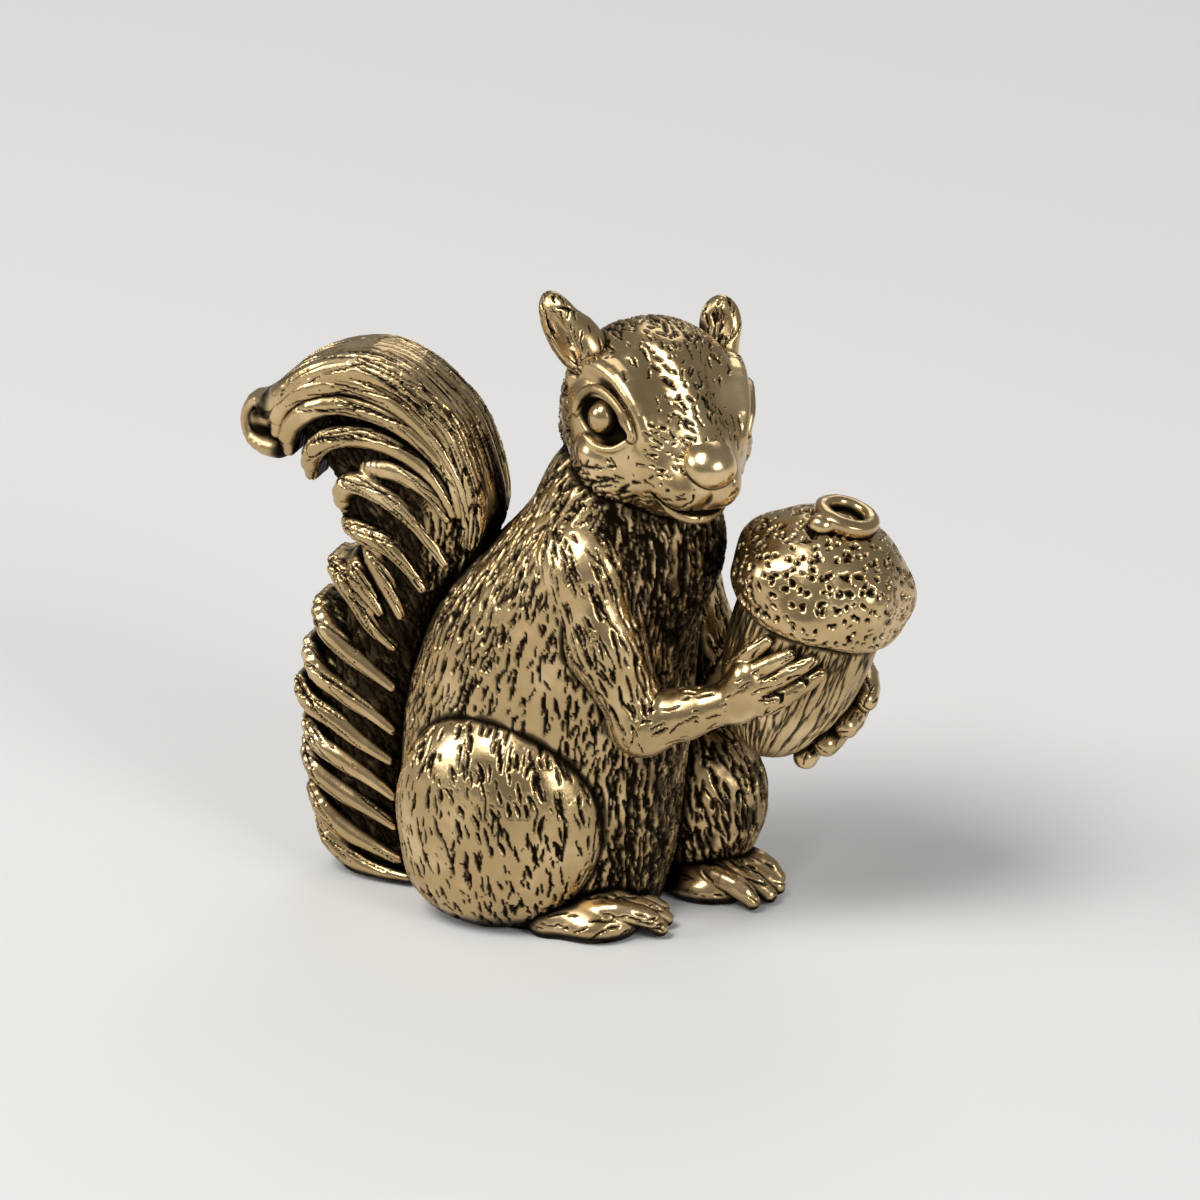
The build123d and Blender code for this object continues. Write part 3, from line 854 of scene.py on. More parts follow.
CURLS = {
    1: [
        [(-19.6, 29.0), (-18.3, 30.0), (-16.5, 31.4), (-14.3, 32.3), (-12.3, 32.5), (-10.4, 31.8),
         (-8.8, 30.6), (-7.6, 29.4), (-6.8, 27.8), (-6.2, 25.9), (-6.0, 24.4), (-6.3, 22.8)],
    ],
    2: [
        [(-18.9, 27.6), (-18.7, 28.6), (-17.9, 30.0), (-16.2, 31.0), (-14.0, 31.6), (-11.9, 31.2),
         (-9.8, 30.1), (-8.2, 28.6), (-7.2, 27.2), (-6.5, 25.4), (-6.4, 23.9)],
    ],
    3: [
        [(-18.2, 26.6), (-18.1, 27.8), (-16.9, 29.3), (-15.3, 30.1), (-13.4, 30.2), (-11.5, 29.8),
         (-9.9, 29.0), (-8.6, 28.0), (-7.3, 26.3), (-6.9, 24.4)],
    ],
    4: [
        [(-16.8, 25.2), (-16.7, 26.3), (-15.5, 27.8), (-13.8, 28.3), (-11.7, 28.2), (-9.8, 27.4),
         (-8.3, 26.2), (-7.3, 24.4)],
    ],
    5: [
        [(-14.6, 23.3), (-14.7, 24.3), (-13.8, 25.3), (-12.6, 25.1), (-10.9, 24.3), (-9.7, 23.3),
         (-8.7, 22.2), (-7.9, 21.2)],
        [(-13.4, 26.2), (-10.9, 26.4), (-9.0, 25.6), (-7.7, 24.0)],
    ],
}
LOCKS = {
    8: [
        [(-14.5, 22.5), (-13.1, 22.2), (-11.4, 21.8), (-10.2, 20.8), (-9.2, 19.5)],
        [(-13.0, 21.6), (-11.9, 20.0), (-10.6, 17.6)],
    ],
    7: [
        [(-15.4, 19.9), (-14.5, 19.1), (-13.3, 17.8), (-12.4, 16.5), (-11.1, 15.5)],
        [(-13.9, 20.3), (-12.9, 18.9), (-11.9, 17.6)],
    ],
    6: [[(-16.4, 17.1), (-15.7, 16.0), (-14.3, 14.8), (-12.8, 13.9), (-11.2, 12.9)]],
    5: [[(-17.1, 14.4), (-16.2, 13.0), (-14.5, 12.0), (-12.8, 11.1), (-11.2, 10.1)]],
    4: [[(-17.7, 11.9), (-16.9, 11.0), (-15.2, 10.2), (-13.6, 9.2), (-11.4, 8.1)]],
    3: [[(-17.2, 9.7), (-16.4, 8.6), (-14.6, 7.6), (-12.9, 6.8), (-11.2, 5.8)]],
    2: [[(-17.3, 8.0), (-16.6, 6.8), (-15.0, 5.7), (-13.2, 4.9), (-11.2, 3.9)]],
    1: [
        [(-16.9, 5.7), (-16.1, 4.3), (-14.5, 3.1), (-12.9, 2.4), (-10.9, 1.7)],
        [(-16.4, 3.7), (-15.4, 2.1), (-13.8, 1.1), (-12.2, 0.7), (-10.4, 0.6)],
    ],
}


def in_tail(line, count):
    return smooth_line([(x, 0.0, z) for x, z in line], count)


# How the ribs swell, how thick they are across the tail and how wide the web is, from tip to root
SWELL = ([0, 0.06, 0.18, 0.5, 1], [0.62, 0.86, 1.0, 1.0])
FLAT = ([0, 0.08, 0.25, 0.6, 1], [0.50, 0.74, 0.93, 1.0, 1.0])
WEB = ([0, 0.12, 0.3, 1], [0.25, 0.60, 1, 1])


def lock_field(lines, rib, web, thick, count, root=0.6):
    """Ribs that are deep across the tail, on a lower web that joins them."""
    smooth = [in_tail(line, count) for line in lines]
    share = np.linspace(0, 1, count)
    swell = np.interp(share, SWELL[0], [*SWELL[1], root])
    flat, middle = np.interp(share, *FLAT), np.interp(share, *WEB)

    def one_lock(p, line):
        best, low = np.full((2, len(p)), 1e9)
        for i in range(count - 1):
            along = line[i + 1] - line[i]
            t = np.clip(((p - line[i]) @ along) / (along @ along), 0, 1)
            gap = p - line[i] - t[:, None] * along
            plane = np.hypot(gap[:, 0], gap[:, 2])
            r = rib * (swell[i] + (swell[i + 1] - swell[i]) * t)
            h = thick * (flat[i] + (flat[i + 1] - flat[i]) * t)
            best = np.minimum(best, np.hypot(plane, np.maximum(np.abs(p[:, 1]) - (h - r), 0)) - r)
            if web:
                wide, high = web * (middle[i] + (middle[i + 1] - middle[i]) * t), h * 0.66
                k = np.sqrt((plane / wide) ** 2 + (p[:, 1] / high) ** 2) - 1
                low = np.minimum(low, k * np.minimum(wide, high))
        return join(best, low, 0.10) if web else best

    def field(p):
        s = one_lock(p, smooth[0])
        for line in smooth[1:]:
            s = join(s, one_lock(p, line), 0.3)
        return np.maximum(s, -p[:, 2])

    return field


def lock_flow(lines):
    line = in_tail(lines[0], 16)
    return lambda p: nearest_run(p * (1, 0, 1), line)


COMB_PITCH, COMB_WIDTH, COMB_DEPTH = 0.56, 0.13, 0.17
COMB_FLAT, COMB_ROUND = 1.6, 1.06


def comb_lines(p):
    """Long even grooves round the back and the sides of the first curl, 1 in their middle."""
    line = in_tail(CURLS[1][0], 28)
    best, out = np.full(len(p), 1e9), np.zeros(len(p))
    for a, b in zip(line[:-1], line[1:]):
        along = b - a
        t = np.clip(((p - a) @ along) / (along @ along), 0, 1)
        gap = p - a - t[:, None] * along
        plane = np.hypot(gap[:, 0], gap[:, 2])
        above = gap @ unit(np.array([-along[2], 0, along[0]]))
        out = np.where(plane < best, above, out)
        best = np.minimum(best, plane)
    wide = np.abs(p[:, 1])
    way = np.minimum(wide, COMB_FLAT) + COMB_ROUND * np.arctan2(np.maximum(wide - COMB_FLAT, 0), out)
    turns = (way + 0.24 * rough(p, 0.32, 31)) / COMB_PITCH
    lines = np.clip(1 - np.abs(turns - np.round(turns)) * COMB_PITCH / COMB_WIDTH, 0, 1)
    return lines * np.clip(0.75 + 1.2 * rough(p, 0.4, 33), 0, 1) * ramp(p[:, 0], -18.6, -17.8)


# Height, then the middle, the half depth and the half thickness
STEM_ROWS = smooth_rows(
    [
        (0.0, -12.4, 3.6, 2.0),
        (3.6, -13.2, 4.0, 2.2),
        (9.6, -13.0, 4.2, 2.4),
        (14.9, -12.2, 3.9, 2.4),
        (19.2, -10.9, 3.6, 2.4),
        (24.0, -9.3, 4.2, 2.3),
        (27.0, -9.4, 4.0, 2.0),
    ]
)
STEM_TOP = 27.0
STEM_LUMPS = [
    ((-12.0, 0, 27.3), (4.6, 1.7, 3.6), 1.0),
    ((-12.9, 0, 23.6), (2.4, 1.6, 2.6), 0.8),
    ((-15.6, 0, 28.4), (2.3, 1.2, 1.9), 0.6),
    ((-7.4, 0, 22.0), (1.9, 1.7, 2.6), 0.6),
]


def stem_field(p):
    z = np.clip(p[:, 2], 0, STEM_TOP)
    middle, half, thick = (np.interp(z, STEM_ROWS[:, 0], STEM_ROWS[:, c]) for c in (1, 2, 3))
    half = half * 0.86
    s = (np.sqrt(((p[:, 0] - middle) / half) ** 2 + (p[:, 1] / thick) ** 2) - 1) * np.minimum(half, thick)
    s = eggs(p, STEM_LUMPS, cut(s, STEM_TOP - p[:, 2], 1.0))
    return np.maximum(s, -p[:, 2])


TIP_START = [(-18.7, 29.4), (-19.6, 29.35), (-20.5, 29.25), (-21.0, 28.6), (-21.1, 27.8), (-20.7, 27.0)]
CURL_TIP = in_tail([*TIP_START, (-19.9, 26.6), (-19.0, 26.5)], 16)
TIP_RADII = [0.90, 0.80, 0.66, 0.56, 0.50, 0.46, 0.44, 0.44, 0.46, 0.50, 0.56, 0.64, 0.72, 0.78, 0.80, 0.80]
TIP_BAR = ((-20.9, 0, 28.0), (-18.7, 0, 28.3), 0.36, 0.55)


def curl_ring(p):
    """The bright ring and bar at the rolled end of the curl."""
    q = p * (1, 0.55, 1)
    return join(chain(q, CURL_TIP, TIP_RADII), rod(q, *TIP_BAR), 0.12)


def curl_tip_field(p):
    """The rolled end of the curl: a ring of metal round two dark hollows."""
    return join(curl_ring(p), egg(p, (-20.1, 0, 28.0), (1.0, 0.9, 1.1)), 0.08)


# Acorn cap and stalk. The cap's swellings: angle round it, height, distance from its axis, half size
CAP_LUMPS = [(-124, 12.6, 3.7, 1.9), (-38, 13.2, 3.6, 1.9), (-80, 11.6, 4.0, 1.6), (20, 12.4, 3.7, 1.8)]
CAP_LUMPS += [(75, 12.6, 3.8, 1.8), (130, 12.4, 3.7, 1.8), (180, 12.9, 3.6, 1.8)]
CAP = ((0, 0, 11.5), (5.30, 5.30, 5.0))
CAP_RIM = 10.15


def cap_field(p):
    q = ACORN.inward(p)
    s = egg(q, *CAP)
    for angle, up, out, size in CAP_LUMPS:
        turn = math.radians(angle)
        s = join(s, egg(q, (out * math.cos(turn), out * math.sin(turn), up), (size, size, size * 0.95)), 0.8)
    return cut(s, q[:, 2] - CAP_RIM - 0.12 * np.sin(4 * np.arctan2(q[:, 1], q[:, 0])), 0.9)


STALK_MIDDLE, STALK_HALF, STALK_RADIUS, STALK_BORE = 15.5, 1.25, 1.75, 0.98
STALK_RIM = (1.45, 16.62, 0.50)
STALK_LUMP = ((-0.95, -1.75, 16.2), (0.75, 0.62, 0.62))


def stalk_field(p):
    q = ACORN.inward(p)
    wide = np.hypot(q[:, 0], q[:, 1])
    side = wide - STALK_RADIUS - 0.10 * np.clip(q[:, 2] - 16.2, -0.5, 1)
    s = np.maximum(side, np.abs(q[:, 2] - STALK_MIDDLE) - STALK_HALF)
    s = join(s, np.hypot(wide - STALK_RIM[0], q[:, 2] - STALK_RIM[1]) - STALK_RIM[2], 0.3)
    s = join(s, egg(q, *STALK_LUMP), 0.2)
    return cut(s, np.maximum(wide - STALK_BORE, 15.4 - q[:, 2]), 0.25)


# Every field, for the shade that the pieces throw on each other


def line_box(lines, room):
    """The box round some lines in the tail's middle plane, and the tail's own thickness."""
    ends = np.array([point for line in lines for point in line])
    low = np.array([ends[:, 0].min() - room, -3.2, ends[:, 1].min() - room])
    high = np.array([ends[:, 0].max() + room, 3.2, ends[:, 1].max() + room])
    return low, high


def all_fields():
    fields = [torso_field, head_field, stem_field, cap_field, stalk_field]
    fields.append(boxed(curl_tip_field, (-21.6, -1.6, 25.6), (-17.4, 1.6, 30.8)))
    for side in (-1, 1):
        fields += [thigh_field(side), arm_field(side)]
        for field, middle, half in (
            (foot_field, FEET[side].outward((5.0, 0, 1.5)), np.array((6, 5, 2))),
            (paw_field, on_nut(*PALMS[side], 0.5) + (1.5, 0, 1.0), 5.0),
            (ear_field, ear_place(side).outward((0, 0, 2.4)), 3.0),
        ):
            fields.append(boxed(field(side), *around(middle, half)))
    for lines in CURLS.values():
        fields.append(boxed(lock_field(lines, 0.7, 1.25, 2.7, count=9), *line_box(lines, 1.2)))
    for lines in LOCKS.values():
        fields.append(boxed(lock_field(lines, 0.72, 1.45, 2.7, count=7), *line_box(lines, 1.4)))
    return fields + [nut_field]


class Shade:
    """How closed in a place is, from a coarse grid of the whole figurine's field; the brass paints it in as
    shade.
    """

    grid = None
    step, low, counts = 0.4, np.array([-24.0, -12.0, -1.0]), np.array([116, 60, 106])
    # How far to look, and how much that distance counts
    looks = ((0.5, 0.30), (1.0, 0.30), (2.0, 0.25), (3.6, 0.15))

    @classmethod
    def fill(cls):
        points = grid_points(cls.low, cls.step, cls.counts)
        whole = points[:, 2].copy()
        for field in all_fields():
            whole = np.minimum(whole, field(points))
        cls.grid = whole.reshape(cls.counts)

    @classmethod
    def at(cls, points):
        if cls.grid is None:
            cls.fill()
        q = np.clip((points - cls.low) / cls.step, 0, cls.counts - 1.001)
        i = q.astype(int)
        f = q - i
        out = np.zeros(len(q))
        for corner in CORNERS:
            weight = np.where(corner, f, 1 - f).prod(axis=1)
            out += weight * cls.grid[tuple((i + corner).T)]
        return out

    @classmethod
    def closed(cls, points, normals):
        """From 0 in the open to 1 in a deep crevice."""
        shut = np.zeros(len(points))
        for reach, weight in cls.looks:
            free = cls.at(points + normals * reach)
            shut += weight * np.clip(1 - free / reach, 0, 1.4)
        return np.clip(shut, 0, 1)


# Brass: each kind of surface with its name, how much patina and painted shade it takes, its roughness and
# how flecked it is


FINISHES = {
    "fur": ("fur brass", 1.0, 0.27, 0.25),
    "head": ("head brass", 0.9, 0.27, 0.22),
    "tail": ("tail brass", 1.0, 0.25, 0.12),
    "smooth": ("polished brass", 0.7, 0.24, 0.12),
    "acorn": ("acorn brass", 0.9, 0.26, 0.20),
    "stalk": ("stalk brass", 0.25, 0.24, 0.10),
}
# How fine the noises are, in bumps a metre
BROAD, MIDDLING, FINE = 260.0, 900.0, 3200.0
# Painted shade and patina by how closed in a place is, and patina by how hollow it is
SHUT_GAIN, SHUT_START, SHUT_WOBBLE = 1.55, 0.46, 0.6
HOLLOW_GAIN, HOLLOW_START = 1.3, 0.42
WORN_ROUGHER, PATINA_ROUGHNESS, SMEAR = 0.14, 0.62, 0.16
BUMP_STRENGTH, BUMP_DEPTH = 0.28, 0.00006


class Wires:
    """Short ways to add and join the nodes of a tree."""

    def __init__(self, tree):
        self.tree = tree

    def put(self, value, socket):
        """A value or another node's output into a socket."""
        if isinstance(value, bpy.types.NodeSocket):
            self.tree.links.new(value, socket)
        else:
            socket.default_value = value

    def node(self, kind, given=None, **settings):
        """A node with its settings, and with what goes into its inputs by name or number."""
        node = self.tree.nodes.new(kind)
        for key, value in settings.items():
            setattr(node, key, value)
        for key, value in (given or {}).items():
            self.put(value, node.inputs[key])
        return node

    def calc(self, kind, *values, clamp=False):
        given = dict(enumerate(values))
        return self.node("ShaderNodeMath", given, operation=kind, use_clamp=clamp).outputs[0]

    def noise(self, place, scale, detail, roughness=0.55):
        given = {"Vector": place, "Scale": scale, "Detail": detail, "Roughness": roughness}
        return self.node("ShaderNodeTexNoise", given).outputs["Fac"]

    def attribute(self, name):
        return self.node("ShaderNodeAttribute", attribute_name=name).outputs["Fac"]

    def colours(self, value, *stops):
        """Colours along a value; one number stands for a grey."""
        node = self.node("ShaderNodeValToRGB", {"Fac": value})
        while len(node.color_ramp.elements) < len(stops):
            node.color_ramp.elements.new(0.5)
        for element, (at, colour) in zip(node.color_ramp.elements, stops):
            element.position = at
            element.color = (*colour, 1) if isinstance(colour, tuple) else (colour, colour, colour, 1)
        return node.outputs["Color"]


def brass(kind):
    """Antiqued brass: polished where hands reach it, nearly black in every recess with patina and painted
    shade.
    """
    name, patina_and_shade_strength, gloss, fleck = FINISHES[kind]
    old = bpy.data.materials.get(name)
    if old:
        return old
    look = bpy.context.scene.squirrel_finish
    material = bpy.data.materials.new(name)
    material.use_nodes = True
    w = Wires(material.node_tree)
    shader = material.node_tree.nodes["Principled BSDF"].inputs
    place = w.node("ShaderNodeTexCoord").outputs["Object"]
    carved, shut, worn = w.attribute("carved"), w.attribute("shut"), w.attribute("worn")
    broad, mid, fine = w.noise(place, BROAD, 3.0), w.noise(place, MIDDLING, 4.0), w.noise(place, FINE, 4.0)
    around = w.calc("SUBTRACT", mid, 0.5)
    # Painted shade in crevices from the occlusion, together with their patina
    crevice_shade_and_patina = w.calc("SUBTRACT", w.calc("MULTIPLY", shut, SHUT_GAIN * patina_and_shade_strength), SHUT_START)
    crevice_shade_and_patina = w.calc("ADD", crevice_shade_and_patina, w.calc("MULTIPLY", around, SHUT_WOBBLE))
    hollow = w.calc("MULTIPLY", w.calc("SUBTRACT", HOLLOW_START, worn), HOLLOW_GAIN * patina_and_shade_strength, clamp=True)
    dark = w.calc("MAXIMUM", w.calc("ADD", crevice_shade_and_patina, hollow, clamp=True), carved)
    specks = w.colours(fine, (0.62 - 0.04 * fleck, 0), (0.72, 1))
    dark = w.calc("MAXIMUM", dark, w.calc("MULTIPLY", specks, fleck))
    dull = tuple(0.80 * c for c in look.brass)
    tone = w.colours(broad, (0.30, dull), (0.52, tuple(look.brass)), (0.70, tuple(look.bright)))
    patina_and_shade = w.colours(dark, (0.0, 0), (0.28, 0.10), (0.62, 0.80), (1.0, 1.0))
    mix = w.node("ShaderNodeMix", data_type="RGBA")
    for key, value in ((0, patina_and_shade), (6, tone), (7, (*look.patina, 1))):
        w.put(value, mix.inputs[key])
    rough_by_patina_and_shade = w.colours(dark, (0.0, gloss), (0.45, gloss + WORN_ROUGHER), (1.0, PATINA_ROUGHNESS))
    height = w.calc("ADD", mid, w.calc("MULTIPLY", fine, 0.5))
    bump = w.node("ShaderNodeBump", {"Strength": BUMP_STRENGTH, "Distance": BUMP_DEPTH, "Height": height})
    w.put(1.0, shader["Metallic"])
    w.put(mix.outputs[2], shader["Base Color"])
    w.put(w.calc("ADD", rough_by_patina_and_shade, w.calc("MULTIPLY", around, SMEAR)), shader["Roughness"])
    w.put(bump.outputs["Normal"], shader["Normal"])
    return material


# From a sculpted form to a Blender object


def curvature(points, quads, normals):
    """How far each point stands out from its neighbours, in millimetres."""
    start, end = quads.T.ravel(), np.roll(quads, -1, axis=1).T.ravel()
    many = np.maximum(np.bincount(start, minlength=len(points)), 1)

    def beside(values):
        return np.bincount(start, weights=values[end], minlength=len(points)) / many

    mean = np.stack([beside(points[:, k]) for k in range(3)], -1)
    bend = ((points - mean) * normals).sum(-1)
    for _ in range(3):
        bend = 0.4 * bend + 0.6 * beside(bend)
    return bend


def write_values(mesh, **values):
    """A number on each point of a mesh, by name."""
    for key, value in values.items():
        layer = mesh.attributes.new(key, "FLOAT", "POINT")
        layer.data.foreach_set("value", value.astype(np.float32))


def mesh_object(name, form, kind):
    """The form as a smooth closed mesh with its carving, shade and wear kept on its points."""
    mesh = bpy.data.meshes.new(name)
    points = (form.points * MM).astype(np.float32)
    quads = form.quads.astype(np.int32)
    mesh.vertices.add(len(points))
    mesh.vertices.foreach_set("co", points.ravel())
    mesh.loops.add(quads.size)
    mesh.loops.foreach_set("vertex_index", quads.ravel())
    mesh.polygons.add(len(quads))
    mesh.polygons.foreach_set("loop_start", np.arange(0, quads.size, 4, dtype=np.int32))
    mesh.update(calc_edges=True)
    mesh.polygons.foreach_set("use_smooth", np.ones(len(quads), bool))
    bend = curvature(form.points, form.quads, form.normals)
    # How closed in each point is, which the brass paints in as shade
    shut = Shade.closed(form.points, form.normals)
    worn = np.clip(0.5 + bend / (form.step * 0.30), 0, 1)
    write_values(mesh, carved=form.carved, shut=shut, worn=worn)
    mesh.materials.append(brass(kind))
    mesh.update()
    piece = bpy.data.objects.new(name, mesh)
    bpy.context.scene.collection.objects.link(piece)
    return piece


def settle(piece, node):
    """The piece stands for its CAD node and rides with the figurine."""
    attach(piece, "root")
    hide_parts(node)


def put(form, name, kind, node):
    """Finishes a form and hands it over as a piece."""
    form.finish()
    settle(mesh_object(name, form, kind), node)


def reach_of(node, room):
    """The box of a CAD node in millimetres, with room round it."""
    low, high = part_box(node)
    return np.array(low) / MM - room, np.array(high) / MM + room


class SquirrelSizes(bpy.types.PropertyGroup):
    """Sizes of the sculpted surface that a user may change."""

    grain: FloatProperty(
        name="Grain", description="Side of the faces on the small pieces", default=0.00011, unit="LENGTH"
    )
    body_grain: FloatProperty(
        name="Body grain", description="Side of the faces on the body", default=0.00015, unit="LENGTH"
    )
    stroke_depth: FloatProperty(
        name="Stroke depth", description="Depth of the strokes in the fur", default=0.00024, unit="LENGTH"
    )
    rib_depth: FloatProperty(
        name="Rib depth", description="Depth of the grooves along the nut", default=0.00016, unit="LENGTH"
    )
    rib_seed: IntProperty(name="Rib seed", description="Which pattern of grooves the nut has", default=3)


def sizes():
    return bpy.context.scene.squirrel_sizes


def grain():
    return sizes().grain / MM


def colour(name, description, default):
    return FloatVectorProperty(
        name=name, description=description, subtype="COLOR", default=default, min=0, max=1
    )


class SquirrelFinish(bpy.types.PropertyGroup):
    """Colours of the antiqued brass and of the floor."""

    brass: colour("Brass", "Colour of the plain brass", (0.56, 0.40, 0.20))
    bright: colour("Bright brass", "Colour where it is polished", (0.80, 0.60, 0.34))
    # The colour of the patina, which also serves for the painted shade
    patina: colour("Patina", "Colour in the recesses", (0.010, 0.006, 0.003))
    floor: colour("Floor", "Colour of the floor", (0.74, 0.73, 0.71))


# Strokes: seed, spacing, least and most length, width and depth, share that is cut, and lean in
# degrees. Depths are shares of the stroke depth, or millimetres where `deep` is 1


STROKES = {
    "body": [
        (21, 0.58, (0.5, 1.3), (0.08, 0.15), (0.5, 1.0), 0.66, 14),
        (22, 0.95, (0.9, 2.0), (0.12, 0.18), (0.7, 1.1), 0.30, 14),
    ],
    "chest": [(23, 0.46, (1.0, 2.8), (0.09, 0.15), (0.7, 1.1), 0.42, 7)],
    "hair": [(31, 0.54, (0.25, 0.9), (0.06, 0.12), (0.4, 0.75), 1.0, 20)],
    "nape": [(32, 0.50, (0.7, 1.9), (0.08, 0.15), (0.5, 1.0), 0.8, 10)],
    "stubble": [(33, 0.60, (0.12, 0.24), (0.05, 0.09), (0.3, 0.6), 0.30, 50)],
    "ear lining": [(41, 0.26, (0.6, 1.6), (0.05, 0.09), (0.08, 0.16), 1.0, 9)],
    "ear": [(43, 0.6, (0.4, 1.0), (0.06, 0.10), (0.06, 0.12), 0.4, 12)],
    "upper arm": [(51, 0.60, (0.6, 1.8), (0.08, 0.15), (0.5, 1.0), 0.6, 10)],
    "forearm": [(61, 0.55, (0.4, 1.3), (0.06, 0.12), (0.35, 0.8), 0.30, 14)],
    "paw": [(71, 0.6, (0.4, 1.3), (0.05, 0.09), (0.06, 0.13), 0.35, 8)],
    "haunch": [
        (81, 0.74, (0.45, 1.3), (0.08, 0.15), (0.5, 1.0), 0.60, 11),
        (83, 1.15, (0.7, 1.6), (0.12, 0.21), (0.7, 1.15), 0.42, 14),
        (85, 0.8, (0.12, 0.3), (0.05, 0.09), (0.3, 0.6), 0.35, 40),
    ],
    "far haunch": [(87, 0.6, (0.8, 2.4), (0.10, 0.16), (0.8, 1.2), 0.35, 9)],
    "foot": [(91, 0.55, (0.4, 1.4), (0.06, 0.12), (0.4, 0.8), 0.3, 12)],
    "stem": [(101, 0.5, (0.8, 2.4), (0.08, 0.15), (0.6, 1.0), 1.0, 14)],
    "stem edge": [(102, 0.6, (4.0, 8.0), (0.07, 0.12), (1.0, 1.4), 0.5, 2)],
    "combed lock": [(0, 0.55, (2.5, 6.0), (0.05, 0.085), (0.5, 0.9), 0.13, 3)],
    "nicked lock": [(1, 1.1, (0.12, 0.3), (0.05, 0.08), (0.3, 0.5), 0.25, 30)],
    "cap pits": [(141, 0.78, (0.20, 0.45), (0.15, 0.24), (0.22, 0.36), 1.0, 60)],
    "cap specks": [(142, 0.75, (0.15, 0.4), (0.07, 0.13), (0.10, 0.20), 0.3, 60)],
}


def strokes(form, flow, name, where=None, shift=0, deep=None, **more):
    """The strokes of this name along the flow, where a function from 0 to 1 allows them."""
    deep = deep or sizes().stroke_depth / MM
    for seed, spacing, length, width, depth, share, lean in STROKES[name]:

        def keep(p, share=share):
            return share * where(p) if where else np.full(len(p), share)

        depth = (depth[0] * deep, depth[1] * deep)
        carve(form, seed + shift, spacing, flow, length, width, depth, keep, lean, **more)


# The pieces, with the grain of the smallest ones in millimetres


EYE_GRAIN, NOSE_GRAIN, EAR_GRAIN, PAW_GRAIN, FOOT_GRAIN, STALK_GRAIN = 0.08, 0.085, 0.085, 0.09, 0.10, 0.085


class MakeTorso(bpy.types.Operator):
    """Sculpt the body with its long wavy strokes"""

    bl_idname = "squirrel.torso"
    bl_label = "Body"

    def execute(self, context):
        low, high = reach_of("torso", 0.8)
        form = Form(torso_field, low, high + (0, 0, 1.5), sizes().body_grain / MM)
        hammer(form, "body")
        thigh = thigh_field(-1)

        def open_side(p):
            return ramp(thigh(p), 0, 0.3)

        def front(p):
            return open_side(p) * ramp(p[:, 0], 1.5, 4.0)

        strokes(form, torso_flow, "body", open_side)
        strokes(form, torso_flow, "chest", front)
        # Painted shade in uneven patches over the chest and belly
        form.patina_and_shade(front(form.points) * form.shade_patches(21))
        form.crease_patina_and_shade(thigh, thigh_field(1))
        form.crease_patina_and_shade(below_shoulder(arm_field(-1)), below_shoulder(arm_field(1)), reach=0.45)
        form.crease_patina_and_shade(head_field, stem_field, foot_field(-1), foot_field(1), reach=0.45)
        put(form, "body", "fur", "torso")
        return {"FINISHED"}


class MakeHead(bpy.types.Operator):
    """Sculpt the head with its brows, lids, muzzle and mouth"""

    bl_idname = "squirrel.head"
    bl_label = "Head"

    def execute(self, context):
        form = Form(head_field, *reach_of("head", 0.9), grain())
        hammer(form, "head")

        def hair(p):
            q = mirrored(HEAD.inward(p))
            eye = ramp(np.linalg.norm((q - (1.9, -4.6, 1.4)) * (0.85, 0.6, 1.0), axis=1), 3.1, 2.4)
            bald = np.clip(1 - np.abs(rough(p, 0.3, 8)) * 2.2, 0, 0.35)
            return np.clip(0.80 - bald - 0.55 * ramp(q[:, 0], 5.4, 6.8), 0.05, 1) * (1 - eye)

        def nape(p):
            q = HEAD.inward(p)
            return (ramp(q[:, 0], -0.4, -2.9) + ramp(q[:, 2], -1.6, -3.6)) * ramp(q[:, 0], 4.9, 4.1)

        strokes(form, head_flow, "hair", hair)
        strokes(form, head_flow, "nape", nape)
        strokes(form, head_flow, "stubble", hair)
        q = mirrored(HEAD.inward(form.points))
        form.patina_and_shade(face_lines(form.points))
        form.patina_and_shade(under_nose(q) * (1.3 - np.abs(nose_field(form.points)) / 0.12))
        form.crease_patina_and_shade(ear_field(-1), ear_field(1), reach=0.14)
        form.crease_patina_and_shade(torso_field, reach=0.30)
        put(form, "head_cast", "head", "head")
        return {"FINISHED"}


class MakeFace(bpy.types.Operator):
    """Set the eyes into their lids and put the nose pad on the muzzle"""

    bl_idname = "squirrel.face"
    bl_label = "Eyes and nose"

    def execute(self, context):
        for name, side in SIDES:
            middle = HEAD.outward(EYE[0] * np.array([1, -side, 1]))
            form = Form(eye_field(side), *around(middle, 1.6), EYE_GRAIN)
            put(form, name + "_eyeball", "smooth", name + "_eye")
        middle = HEAD.outward((6.8, 0, 0.4))
        form = Form(nose_field, *around(middle, 2.6), NOSE_GRAIN)
        hammer(form, "nose")
        q = mirrored(HEAD.inward(form.points))
        form.patina_and_shade(under_nose(q) * (1.3 - np.abs(head_field(form.points)) / 0.10))
        put(form, "nose_pad", "smooth", "nose")
        return {"FINISHED"}


def make_ear(name, side):
    """One ear with its lined hollow."""
    place = ear_place(side)
    middle = place.outward((0, 0, 2.0))
    form = Form(ear_field(side), *around(middle, 4.3), EAR_GRAIN)
    hammer(form, "ear")

    def up(p):
        return (place.inward(p) * (0.55, 0, 0) + (0, 0, 1.0)) @ place.turn.T

    def hollow(p):
        return np.clip(1 - ear_hollow(place.inward(p), side) / 0.12, 0, 1)

    lined = 0.22 if side < 0 else 0.3
    strokes(form, up, "ear lining", lambda p: lined * hollow(p), side, deep=1.0)
    strokes(form, up, "ear", lambda p: 1 - hollow(p), side, deep=1.0)
    put(form, name + "_ear_cast", "head", name + "_ear")


class MakeEars(bpy.types.Operator):
    """Sculpt both ears with their rolled rims and lined hollows"""

    bl_idname = "squirrel.ears"
    bl_label = "Ears"

    def execute(self, context):
        for name, side in SIDES:
            make_ear(name, side)
        return {"FINISHED"}


